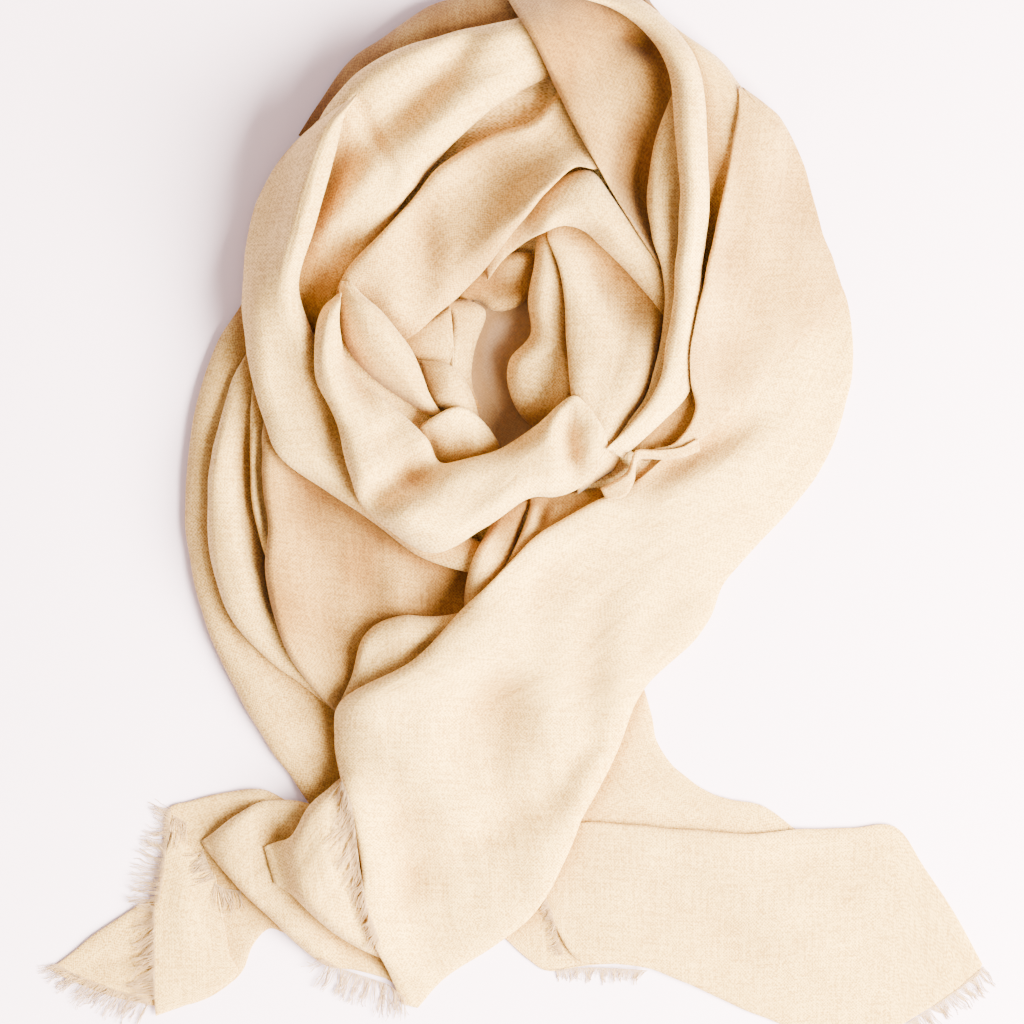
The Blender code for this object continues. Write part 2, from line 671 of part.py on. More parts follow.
def plan_and_loft(stretch):
    """Work out a stretch's points in plan, its loft at each, and the share that its edges leave."""
    rows, length = smoothed(stretch.sections, 2)
    count = max(3, math.ceil(length / SECTION_STEP) + 1)
    rows, length = smoothed(stretch.sections, count)
    at = Section(*rows.T[:, :, None])
    widest = max(1.0, np.hypot(at.right_x - at.left_x, at.right_y - at.left_y).max())
    place, share = across(widest, stretch.left, stretch.right)
    place = np.tile(place / widest, (count, 1))
    share = np.tile(share, (count, 1))
    x = at.left_x + place * (at.right_x - at.left_x)
    y = at.left_y + place * (at.right_y - at.left_y)
    loft = np.repeat(np.maximum(at.loft, LEAST_LOFT), x.shape[1], axis=1)
    walked = np.linspace(0, length, count)
    for distance, tucked in ((walked, stretch.tucked[0]), (length - walked, stretch.tucked[1])):
        if tucked:
            fall = np.clip(distance / END_FALL, 0, 1)
            loft *= (TUCKED_LOFT + (1 - TUCKED_LOFT) * np.sqrt(1 - (1 - fall) ** 2))[:, None]
    for row in stretch.folds:
        loft += fold_rise(x, y, Fold(*row))
    hem = stretch.left.hem * (1 - place) + stretch.right.hem * place
    return x, y, np.maximum(loft, LEAST_LOFT), share, hem


def grid_triangles(rows, columns):
    """Return the triangles of a grid of points, two for each square."""
    index = np.arange(rows * columns).reshape(rows, columns)
    a, b = index[:-1, :-1].ravel(), index[:-1, 1:].ravel()
    c, d = index[1:, 1:].ravel(), index[1:, :-1].ravel()
    return np.concatenate([np.stack([a, b, c], 1), np.stack([a, c, d], 1)])


def lattice(longest):
    """Return the weights of points spread evenly over a triangle, closer than a heap cell."""
    steps = max(2, math.ceil(longest / (0.7 * HEAP_CELL)))
    first, second = np.meshgrid(np.arange(steps + 1), np.arange(steps + 1), indexing="ij")
    inside = first + second <= steps
    first, second = first[inside], second[inside]
    return np.stack([steps - first - second, first, second], axis=1) / steps


def wall_drop(x, y, z, triangles):
    """Return how far below each point the wall's underside is, more where the wall is steep."""
    points = np.stack([x, y, z], axis=1)
    a, b, c = (points[triangles[:, k]] for k in range(3))
    normal = np.cross(b - a, c - a)
    upright = np.abs(normal[:, 2]) / np.maximum(np.linalg.norm(normal, axis=1), 1e-9)
    least = np.ones(len(x))
    for corner in triangles.T:
        np.minimum.at(least, corner, upright)
    return WALL / np.maximum(least, 1 / STEEPEST)


def settle(x, y, z, triangles, heap, flat_below):
    """Lift a stretch's points until its underside is clear of the heap, and lay it on the heap."""
    longest = max(np.hypot(x[triangles[:, i]] - x[triangles[:, j]],
                           y[triangles[:, i]] - y[triangles[:, j]]).max()
                  for i, j in ((0, 1), (1, 2), (2, 0)))
    weights = lattice(longest)
    corners_x, corners_y = x[triangles], y[triangles]
    beneath = heap.read(heap.grown(HEAP_CELL), corners_x @ weights.T, corners_y @ weights.T)
    floor = np.where(beneath > 0, beneath + LAYER_GAP, 0.0)
    covered = np.zeros(len(x), bool)
    for corner in triangles.T:
        covered[corner[(beneath > 0).any(axis=1)]] = True
    pull = weights / (weights ** 2).sum(axis=1)[:, None]
    drop = wall_drop(x, y, z, triangles)
    for turn in range(SETTLE_ROUNDS):
        if turn % 10 == 9:
            drop = np.maximum(drop, wall_drop(x, y, z, triangles))
        short = floor - (z - drop)[triangles] @ weights.T
        worst = short.argmax(axis=1)
        lift = np.maximum(short[np.arange(len(short)), worst], 0)
        if lift.max() < CLEAR_ENOUGH:
            break
        rise = np.zeros(len(x))
        for k, corner in enumerate(triangles.T):
            np.maximum.at(rise, corner, lift * pull[worst, k])
        z = z + rise
    z = z + max(0.0, (floor - (z - drop)[triangles] @ weights.T).max())
    below = z - drop
    if flat_below:
        below = np.where(covered, below, 0.0)
    heap.lay(corners_x @ weights.T, corners_y @ weights.T, z[triangles] @ weights.T)
    return z, below


def cloth_material(name, colour):
    """Make a plain matt cloth material."""
    material = bpy.data.materials.new(name)
    material.use_nodes = True
    shader = material.node_tree.nodes["Principled BSDF"]
    shader.inputs["Base Color"].default_value = colour
    shader.inputs["Roughness"].default_value = CLOTH_ROUGHNESS
    shader.inputs["Metallic"].default_value = 0.0
    material.diffuse_color = colour
    return material


def add_solid(name, x, y, top, below, triangles, colour):
    """Close a surface into a solid: the surface, its copy beneath it, and the wall round its rim."""
    surface = bmesh.new()
    order = surface.verts.layers.int.new("order")
    points = [surface.verts.new((px * MM, py * MM, pz * MM)) for px, py, pz in zip(x, y, top)]
    faces = [surface.faces.new([points[k] for k in corners]) for corners in triangles]
    for k, point in enumerate(points):
        point[order] = k
    made = bmesh.ops.extrude_face_region(surface, geom=faces, use_keep_orig=True)["geom"]
    for point in made:
        if isinstance(point, bmesh.types.BMVert):
            point.co.z = below[point[order]] * MM
    bmesh.ops.recalc_face_normals(surface, faces=surface.faces[:])
    mesh = bpy.data.meshes.new(name)
    surface.to_mesh(mesh)
    surface.free()
    mesh.materials.append(cloth_material(name, colour))
    mesh.shade_smooth()
    solid = bpy.data.objects.new(name, mesh)
    bpy.context.collection.objects.link(solid)
    return solid


def lay_core(heap):
    """Build the rounded solid of the hidden layers, a ring round the coil's open middle."""
    stations = np.array(CORE_STATIONS)
    x, y, z = [], [], []
    for turn, row in enumerate(CORE):
        row = CoreRow(*row)
        bearing = math.radians(turn * CORE_TURN)
        out = row.inner + stations[:, 0] * (row.ring_reach - row.inner)
        high = stations[:, 1] * row.ring_height
        high = np.where(stations[:, 0] > 0.5, np.maximum(high, row.ledge), high)
        low = [max(row.reach - LEDGE_FALL, row.ring_reach + LEDGE_TOP),
               max(row.reach, row.ring_reach + LEDGE_TOP + LEDGE_FALL - 1)]
        out = np.concatenate([out, low])
        high = np.concatenate([high, [row.ledge * 0.9, row.ledge * LEDGE_RIM]])
        x.append(HOLE_CENTRE[0] + out * math.cos(bearing))
        y.append(HOLE_CENTRE[1] + out * math.sin(bearing))
        z.append(high)
    x, y, z = (np.array(values + [values[0]]) for values in (x, y, z))
    rows, columns = x.shape
    wrap = np.arange(rows * columns)
    wrap[-columns:] = np.arange(columns)
    triangles = wrap[grid_triangles(rows, columns)]
    x, y, z = (values[:-1].ravel() for values in (x, y, z))
    weights = lattice(CORE_SQUARE)
    heap.lay(x[triangles] @ weights.T, y[triangles] @ weights.T, z[triangles] @ weights.T)
    return add_solid("hidden_layers_core", x, y, z, np.zeros(len(z)), triangles, HIDDEN_COLOUR)


def lay_stretch(stretch, heap):
    """Lay one stretch of cloth on the heap and build its solid."""
    x, y, loft, share, hem = plan_and_loft(stretch)
    shape = x.shape
    carried = heap.read(heap.softened(BRIDGED_REACH, BRIDGED_SPREAD), x, y)
    nearest = heap.read(heap.grown(HEM_REACH), x, y)
    z = share * (carried + loft) + (1 - share) * (nearest + hem)
    triangles = grid_triangles(*shape)
    x, y, z = x.ravel(), y.ravel(), z.ravel() + WALL
    z, below = settle(x, y, z, triangles, heap, stretch.flat_below)
    return add_solid(stretch.name, x, y, z, below, triangles, stretch.colour)


def main():
    """Clear the scene, then lay the core and every stretch on it in turn."""
    for old in list(bpy.data.objects):
        bpy.data.objects.remove(old)
    heap = Heap()
    lay_core(heap)
    for stretch in STRETCHES:
        lay_stretch(stretch, heap)


main()
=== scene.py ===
"""The looks of a pashmina shawl, one long sheet of cream gauze laid flat in a loose coil.

The shawl lies in turns round an open middle, its front end crosses to the lower left, and its two
frayed ends are drawn out below.  Every stretch of cloth that shows is a thin shell.  A stretch is
drawn in plan by a row of sections, from its left edge to its right edge, with its own loft, its
rounded or cut edges and its creases.  The stretches are laid from the lowest to the topmost, and
each settles softly on the heap beneath it.  Shade is painted into the cloth's colour through two
attributes on each sheet: darker in the hollows, by what the heap's shape says, and darker over
the sheer stretches that are given painted shade.

Tables are in millimetres from the object's origin: +X to the right, +Y to the top of the coil.
"""
import logging
import math
from dataclasses import dataclass
from enum import Enum
from typing import NamedTuple

import bmesh
import bpy
import numpy as np
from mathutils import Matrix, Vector


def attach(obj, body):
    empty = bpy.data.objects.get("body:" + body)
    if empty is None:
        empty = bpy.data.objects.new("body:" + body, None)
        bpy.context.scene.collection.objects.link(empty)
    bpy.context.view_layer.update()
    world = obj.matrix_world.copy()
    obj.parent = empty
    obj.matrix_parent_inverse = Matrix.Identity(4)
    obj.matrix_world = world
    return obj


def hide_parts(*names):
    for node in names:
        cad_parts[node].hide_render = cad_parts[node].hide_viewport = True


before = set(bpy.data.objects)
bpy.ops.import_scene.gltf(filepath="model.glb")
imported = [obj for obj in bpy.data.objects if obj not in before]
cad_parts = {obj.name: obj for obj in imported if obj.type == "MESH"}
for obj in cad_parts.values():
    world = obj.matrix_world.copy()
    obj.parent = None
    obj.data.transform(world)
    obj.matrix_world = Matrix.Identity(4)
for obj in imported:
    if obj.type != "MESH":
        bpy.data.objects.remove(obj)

MM = 0.001
GRID_STEP = 1.9             # spacing of the finished cloth's points
CLOTH_THICKNESS = 0.35      # one layer of gauze
LAYER_GAP = 0.7             # from a layer's upper face to the next layer's
HEAP_CELL = 1.5             # cell of the grid that remembers the heap's height
HEAP_HALF = 300.0
TUCK_FALL = 14.0            # length over which a tucked end comes down
ROLL_UNDER = 55.0           # degrees that a rounded edge carries on beneath itself
EDGE_WOBBLE = 0.6           # how far an edge strays from its drawn line
EDGE_WAVE = 13.0            # length of one such stray
WRINKLE_RISE = 0.4          # small unevenness of the cloth: its height, length and width
WRINKLE_LENGTH = 30.0
WRINKLE_WIDTH = 8.0
DRAPE = 7.0                 # how broadly cloth bridges the heap beneath it
CLING = 2.0                 # how closely a hem follows it
REST_BLEND = 2.2            # height over which cloth eases from its own form onto the heap
WIDE_HOLLOW = 15.0          # reach of the broad hollows between folds, painted darker as shade
CLOSE_HOLLOW = 4.5          # reach of the tight ones, also painted darker as shade
SHADE_PATCH = 26.0                # size of the patches where the painted shade on sheer stretches is stronger
SHADE_STREAK = (9.0, 31.0)        # width and length of the finer streaks among them
PATCH_SEED = 91
LEAST_LOFT = 0.3            # no cloth lies closer than this to what carries it

LOG = logging.getLogger("shawl")


class Held(Enum):
    """How a stretch of the sheet is held: laid flat or folded."""

    LAID = "laid"
    FOLDED = "folded"


class Section(NamedTuple):
    """One section of a stretch: its two edges in plan and how far it stands off the heap."""

    left_x: float
    left_y: float
    right_x: float
    right_y: float
    loft: float

    @classmethod
    def rows(cls, *rows: tuple[float, ...]) -> tuple["Section", ...]:
        """Make a table of sections from plain rows."""
        return tuple(cls(*row) for row in rows)


class Crease(NamedTuple):
    """A soft ridge, or a trough where rise is negative, on a curve through three points."""

    start_x: float
    start_y: float
    middle_x: float
    middle_y: float
    end_x: float
    end_y: float
    rise: float
    reach: float

    @classmethod
    def rows(cls, *rows: tuple[float, ...]) -> tuple["Crease", ...]:
        """Make a table of creases from plain rows."""
        return tuple(cls(*row) for row in rows)


class Rim(NamedTuple):
    """An edge of a stretch: how far it rounds over, and its height above what is beneath."""

    roll: float
    hem: float = 0.5


@dataclass(frozen=True)
class Stretch:
    """One stretch of the cloth, named after the solid that it stands for."""

    name: str
    left: Rim
    right: Rim
    sections: tuple[Section, ...]
    creases: tuple[Crease, ...] = ()
    tucked: tuple[bool, bool] = (True, True)    # whether its start and its end go under other cloth
    crown: float = 0.15     # share of the loft that the middle stands above the edges
    sheer_shade: float = 0.0      # painted shade: how much darker the sheer gauze is drawn where it lies in shade, from 0 to 1
    shaded: bool = False    # lies in the shade at the bottom of the coil, drawn with the darker shaded finish as painted shade
    held: Held = Held.FOLDED


@dataclass
class Surface:
    """A stretch's points once it is laid: rows along it, columns across it."""

    x: np.ndarray
    y: np.ndarray
    z: np.ndarray
    along: np.ndarray       # distance from the start, for the weave
    across: np.ndarray      # distance from the left edge, for the weave


@dataclass
class Plan:
    """A stretch before it is laid: its points in plan and how far each stands off."""

    x: np.ndarray
    y: np.ndarray
    loft: np.ndarray
    share: np.ndarray       # 0 at an edge's hem, 1 where the cloth stands at its loft
    hem: np.ndarray
    along: np.ndarray
    across: np.ndarray


class Heap:
    """How high the heap of cloth stands, kept on a square grid seen from above."""

    def __init__(self) -> None:
        """Start with a bare table."""
        self.count: int = int(2 * HEAP_HALF / HEAP_CELL)
        self.top: np.ndarray = np.zeros((self.count, self.count))

    def lay(self, x: np.ndarray, y: np.ndarray, z: np.ndarray) -> None:
        """Raise the cells under a grid of points to at least their heights.

        Args:
            x: the points' places along X, in millimetres, as a grid.
            y: the same along Y.
            z: the same up.
        """
        x, y, z = doubled(x, y, z)
        row = np.clip(((x + HEAP_HALF) / HEAP_CELL).astype(int), 0, self.count - 1)
        column = np.clip(((y + HEAP_HALF) / HEAP_CELL).astype(int), 0, self.count - 1)
        np.maximum.at(self.top, (row, column), z)

    def grown(self, reach: float) -> np.ndarray:
        """Return the heap with each cell raised to the highest one near it.

        Args:
            reach: how far away a cell counts, in millimetres.

        Returns:
            The raised grid.
        """
        high = self.top.copy()
        for _ in range(max(1, round(reach / HEAP_CELL))):
            near = high.copy()
            near[1:] = np.maximum(near[1:], high[:-1])
            near[:-1] = np.maximum(near[:-1], high[1:])
            near[:, 1:] = np.maximum(near[:, 1:], high[:, :-1])
            near[:, :-1] = np.maximum(near[:, :-1], high[:, 1:])
            high = near
        return high

    @staticmethod
    def blurred(height: np.ndarray, spread: float) -> np.ndarray:
        """Return a grid softened as a cloth over it would be.

        Args:
            height: the grid.
            spread: how far the softening reaches, in millimetres.

        Returns:
            The softened grid.
        """
        sigma = spread / HEAP_CELL
        steps = np.arange(-int(3 * sigma) - 1, int(3 * sigma) + 2)
        weights = np.exp(-steps ** 2 / (2 * sigma ** 2))
        weights /= weights.sum()
        pad = len(steps) // 2
        for _ in range(2):
            wide = np.pad(height, ((pad, pad), (0, 0)), mode="edge")
            height = sum(w * wide[k:k + len(height)] for k, w in enumerate(weights)).T
        return height

    def read(self, height: np.ndarray, x: np.ndarray, y: np.ndarray) -> np.ndarray:
        """Return a grid's values at points between its cells.

        Args:
            height: the grid to read.
            x: the points' places along X, in millimetres.
            y: the same along Y.

        Returns:
            The height at each point.
        """
        a = np.clip((x + HEAP_HALF) / HEAP_CELL - 0.5, 0, self.count - 1.001)
        b = np.clip((y + HEAP_HALF) / HEAP_CELL - 0.5, 0, self.count - 1.001)
        row, column = a.astype(int), b.astype(int)
        p, q = a - row, b - column
        return (height[row, column] * (1 - p) * (1 - q) + height[row + 1, column] * p * (1 - q)
                + height[row, column + 1] * (1 - p) * q + height[row + 1, column + 1] * p * q)


def doubled(*grids: np.ndarray) -> list[np.ndarray]:
    """Return grids with a point added halfway between each two, so that no heap cell is missed.

    Args:
        grids: the grids, rows along a stretch and columns across it.

    Returns:
        The finer grids, in the same order.
    """
    fine = []
    for grid in grids:
        for _ in range(2):
            middle = (grid[1:] + grid[:-1]) / 2
            longer = np.empty((2 * len(grid) - 1, grid.shape[1]))
            longer[0::2], longer[1::2] = grid, middle
            grid = longer.T
        fine.append(grid)
    return fine


def soft_noise(u: np.ndarray, v: np.ndarray, seed: int) -> np.ndarray:
    """Return smooth noise between -1 and 1, the same on each run.

    Args:
        u: the first coordinate, one unit for each bump.
        v: the second.
        seed: which noise.

    Returns:
        The noise at each point.
    """
    table = np.random.default_rng(seed).uniform(-1, 1, (64, 64))
    i, j = np.floor(u).astype(int), np.floor(v).astype(int)
    p, q = u - i, v - j
    p, q = p * p * (3 - 2 * p), q * q * (3 - 2 * q)
    i, j = i % 64, j % 64
    k, m = (i + 1) % 64, (j + 1) % 64
    low = table[i, j] * (1 - p) + table[k, j] * p
    high = table[i, m] * (1 - p) + table[k, m] * p
    return low * (1 - q) + high * q


def smoothed(rows: tuple[Section, ...], count: int) -> tuple[np.ndarray, float]:
    """Carry a smooth curve through the sections and cut it into even steps.

    Args:
        rows: the sections.
        count: how many steps.

    Returns:
        The sections' values at each step, and the length of the middle line.
    """
    table = np.array(rows, float)
    last = len(table) - 1
    padded = np.vstack([2 * table[0] - table[1], table, 2 * table[-1] - table[-2]])
    places = np.linspace(0, last, 60 * last + 1)
    first = np.minimum(places.astype(int), last - 1)
    part = (places - first)[:, None]
    a, b, c, d = (padded[first + k] for k in range(4))
    curve = 0.5 * (2 * b + (c - a) * part + (2 * a - 5 * b + 4 * c - d) * part ** 2
                   + (3 * b - a - 3 * c + d) * part ** 3)
    middle = (curve[:, 0:2] + curve[:, 2:4]) / 2
    walked = np.concatenate([[0], np.cumsum(np.linalg.norm(np.diff(middle, axis=0), axis=1))])
    even = np.linspace(0, walked[-1], count)
    return np.stack([np.interp(even, walked, column) for column in curve.T], axis=1), walked[-1]


def crease_rise(x: np.ndarray, y: np.ndarray, crease: Crease) -> np.ndarray:
    """Work out how much one crease lifts the cloth at each point.

    Args:
        x: the points' places along X.
        y: the same along Y.
        crease: the ridge or trough.

    Returns:
        The lift at each point, below 0 in a trough.
    """
    t = np.linspace(0, 1, 90)
    start, end = np.array(crease[0:2]), np.array(crease[4:6])
    pull = 2 * np.array(crease[2:4]) - (start + end) / 2
    line = ((1 - t) ** 2)[:, None] * start + (2 * t * (1 - t))[:, None] * pull + (t ** 2)[:, None] * end
    away = (x[..., None] - line[:, 0]) ** 2 + (y[..., None] - line[:, 1]) ** 2
    near = away.argmin(axis=-1)
    ends = np.clip(np.minimum(t, 1 - t)[near] * 2.5, 0, 1)
    fade = 0.1 + 0.9 * ends * ends * (3 - 2 * ends)
    return crease.rise * fade * np.exp(-away.min(axis=-1) / crease.reach ** 2)


# ------------------------------------------------------------------------------- finishes
def new_socket(group: bpy.types.NodeTree, name: str, kind: str, out: bool = False,
               value: float | None = None) -> None:
    """Give a node group one named input or output.

    Args:
        group: the node group.
        name: the socket's name.
        kind: its type without the NodeSocket in front, such as Float.
        out: whether it is an output.
        value: the default of a float input.
    """
    socket = group.interface.new_socket(
        name=name, in_out="OUTPUT" if out else "INPUT", socket_type="NodeSocket" + kind)
    if value is not None:
        socket.default_value = value


class NodeBench:
    """Adds and joins the nodes of one tree."""

    def __init__(self, tree: bpy.types.NodeTree) -> None:
        """Work on the given tree."""
        self.tree = tree

    def add(self, kind: str, feeds: dict[str | int, object] | None = None,
            **settings: object) -> bpy.types.Node:
        """Add a node, set its properties and feed its inputs.

        Args:
            kind: the node's type name.
            feeds: a socket or a plain value for each input, by its name or place.
            settings: the properties to set.

        Returns:
            The node.
        """
        node = self.tree.nodes.new(kind)
        for name, value in settings.items():
            setattr(node, name, value)
        for name, value in (feeds or {}).items():
            self.feed(node.inputs[name], value)
        return node

    def feed(self, target: bpy.types.NodeSocket, value: object) -> None:
        """Link an input to a socket, or set it to a plain value.

        Args:
            target: the input.
            value: an output socket, or a number, vector or name.
        """
        if isinstance(value, bpy.types.NodeSocket):
            self.tree.links.new(value, target)
        else:
            target.default_value = value

    def maths(self, operation: str, *values: object) -> bpy.types.NodeSocket:
        """Add a Math node and return its output.

        Args:
            operation: the node's operation.
            values: a socket or a number for each input.

        Returns:
            The result's socket.
        """
        return self.add("ShaderNodeMath", dict(enumerate(values)), operation=operation).outputs[0]

    def vector(self, operation: str, *values: object) -> bpy.types.NodeSocket:
        """Add a Vector Math node and return its vector, as maths does for numbers."""
        node = self.add("ShaderNodeVectorMath", dict(enumerate(values)), operation=operation)
        return node.outputs["Vector"]

    def scaled(self, vector: bpy.types.NodeSocket, amount: object) -> bpy.types.NodeSocket:
        """Return a vector made longer or shorter by an amount."""
        node = self.add("ShaderNodeVectorMath", {0: vector, "Scale": amount}, operation="SCALE")
        return node.outputs["Vector"]

    def noise(self, vector: bpy.types.NodeSocket, scale: tuple[float, float, float],
              detail: float = 2.0, shift: float = 0.0) -> bpy.types.NodeSocket:
        """Add stretched noise and return its value from 0 to 1.

        Args:
            vector: the coordinates.
            scale: bumps for each unit along the three axes.
            detail: octaves of noise.
            shift: moves the noise, so that two of them differ.

        Returns:
            The noise's socket.
        """
        mapping = self.add("ShaderNodeMapping", {
            "Vector": vector, "Scale": scale, "Location": (shift, shift * 0.7, shift * 0.3)})
        texture = self.add("ShaderNodeTexNoise", {
            "Vector": mapping.outputs["Vector"], "Scale": 1.0, "Detail": detail}, noise_dimensions="3D")
        return texture.outputs["Fac"]


class WeaveGroup:
    """The shader group of plain-woven gauze: its threads, its slubs and its open places."""

    NAME = "gauze_weave"

    @classmethod
    def get(cls) -> bpy.types.NodeTree:
        """Return the group, built once."""
        return bpy.data.node_groups.get(cls.NAME) or cls.build()

    @classmethod
    def build(cls) -> bpy.types.NodeTree:
        """Build the group.

        Returns:
            The node group, which takes cloth coordinates in millimetres.
        """
        group = bpy.data.node_groups.new(cls.NAME, "ShaderNodeTree")
        new_socket(group, "Cloth", "Vector")
        new_socket(group, "Pitch", "Float", value=0.9)
        new_socket(group, "Slub", "Float", value=0.5)
        new_socket(group, "Height", "Float", out=True)
        new_socket(group, "Tone", "Float", out=True)
        bench = NodeBench(group)
        inlet, outlet = bench.add("NodeGroupInput"), bench.add("NodeGroupOutput")
        cloth, pitch, slub = (inlet.outputs[name] for name in ("Cloth", "Pitch", "Slub"))
        # the threads wander a little
        wander = bench.add("ShaderNodeTexNoise", {"Vector": cloth, "Scale": 0.16}, noise_dimensions="3D")
        shifted = bench.vector("MULTIPLY_ADD", wander.outputs["Color"], (4.5, 4.5, 0.0), cloth)
        split = bench.add("ShaderNodeSeparateXYZ", {0: shifted})
        turn = bench.maths("DIVIDE", math.tau, pitch)
        warp = bench.maths("SINE", bench.maths("MULTIPLY", split.outputs["X"], turn))
        weft = bench.maths("SINE", bench.maths("MULTIPLY", split.outputs["Y"], turn))
        crossing = bench.maths("MULTIPLY", warp, weft)
        # thick and thin yarns, in both directions
        along = bench.noise(cloth, (0.05, 1.3, 1.0), 3.0, 3.1)
        across = bench.noise(cloth, (1.3, 0.05, 1.0), 3.0, 9.7)
        yarns = bench.maths("ADD", along, across)
        yarns = bench.maths("MULTIPLY", bench.maths("SUBTRACT", yarns, 1.0), slub)
        height = bench.maths("MULTIPLY_ADD", yarns, 3.0, bench.maths("MULTIPLY", crossing, 0.5))
        bench.feed(outlet.inputs["Height"], height)
        # open places, yarns and fuzz all change the tone
        fuzz = bench.noise(cloth, (0.9, 0.9, 1.0), 2.0, 5.0)
        patch = bench.noise(cloth, (0.06, 0.06, 1.0), 3.0, 1.3)
        open_weave = bench.maths("MULTIPLY", crossing, bench.maths("MULTIPLY", patch, 0.9))
        tone = bench.maths("ADD", open_weave, bench.maths("MULTIPLY_ADD", yarns, 1.3, 0.5))
        tone = bench.maths("MULTIPLY_ADD", bench.maths("SUBTRACT", fuzz, 0.5), 1.8, tone)
        tone = bench.maths("MULTIPLY_ADD", bench.maths("SUBTRACT", patch, 0.5), 0.35, tone)
        clamp = bench.add("ShaderNodeClamp", {"Value": tone})
        bench.feed(outlet.inputs["Tone"], clamp.outputs[0])
        return group


@dataclass(frozen=True)
class GauzeFinish:
    """Fine cream gauze: matt, a little translucent, with a faint sheen.

    A sheet's attributes paint shade into it: darker in the hollows, and darker over sheer stretches in shade.
    Colours are linear, pitch and relief are in millimetres, and the glow's reach is in metres.
    """

    name: str = "cream_gauze"
    light: tuple[float, float, float] = (0.81, 0.565, 0.222)
    deep: tuple[float, float, float] = (0.42, 0.248, 0.068)
    # painted shade: the first tint darkens the hollows, the second the sheer stretches that lie in shade
    hollow_shade_tint: tuple[float, float, float] = (0.46, 0.33, 0.155)
    beneath: tuple[float, float, float] = (0.37, 0.275, 0.165)
    pitch: float = 1.75
    slub: float = 0.95
    bump: float = 0.4
    relief: float = 0.2
    roughness: float = 0.86
    sheen: float = 0.15
    glow: float = 0.22
    glow_reach: float = 0.006

    def material(self) -> bpy.types.Material:
        """Build the material.

        Returns:
            The material, which reads the cloth's own coordinates from its UV map.
        """
        material = bpy.data.materials.get(self.name)
        if material:
            return material
        material = bpy.data.materials.new(self.name)
        material.use_nodes = True
        bench = NodeBench(material.node_tree)
        shader = material.node_tree.nodes["Principled BSDF"]
        cloth = bench.add("ShaderNodeUVMap", uv_map="cloth")
        weave = bench.add("ShaderNodeGroup", node_tree=WeaveGroup.get())
        bench.feed(weave.inputs["Cloth"], bench.scaled(cloth.outputs["UV"], 1 / MM))
        bench.feed(weave.inputs["Pitch"], self.pitch)
        bench.feed(weave.inputs["Slub"], self.slub)
        tones = {"Factor": weave.outputs["Tone"], "A": (*self.deep, 1), "B": (*self.light, 1)}
        colour = bench.add("ShaderNodeMix", tones, data_type="RGBA").outputs["Result"]
        # painted shade: multiply the colour darker in the hollows and over sheer stretches in shade
        for attribute, tint in (("hollow_shade_amount", self.hollow_shade_tint), ("thin", self.beneath)):
            amount = bench.add("ShaderNodeAttribute", attribute_name=attribute)
            tones = {"Factor": amount.outputs["Fac"], "A": colour, "B": (*tint, 1)}
            darker = bench.add("ShaderNodeMix", tones, data_type="RGBA", blend_type="MULTIPLY")
            colour = darker.outputs["Result"]
        bump = bench.add("ShaderNodeBump", {"Strength": self.bump, "Distance": self.relief * MM,
                                            "Height": weave.outputs["Height"]})
        looks = {"Base Color": colour, "Normal": bump.outputs["Normal"], "Roughness": self.roughness,
                 "Specular IOR Level": 0.2, "Sheen Weight": self.sheen, "Sheen Roughness": 0.5,
                 "Sheen Tint": (1.0, 0.93, 0.82, 1), "Subsurface Weight": self.glow,
                 "Subsurface Radius": (1.0, 0.72, 0.45), "Subsurface Scale": self.glow_reach}
        for name, value in looks.items():
            bench.feed(shader.inputs[name], value)
        return material


@dataclass(frozen=True)
class PlainFinish:
    """An even finish, for the table."""

    name: str
    colour: tuple[float, float, float]
    roughness: float

    def material(self) -> bpy.types.Material:
        """Build the material.

        Returns:
            The material.
        """
        material = bpy.data.materials.new(self.name)
        material.use_nodes = True
        shader = material.node_tree.nodes["Principled BSDF"]
        shader.inputs["Base Color"].default_value = (*self.colour, 1)
        shader.inputs["Roughness"].default_value = self.roughness
        shader.inputs["Specular IOR Level"].default_value = 0.1
        return material


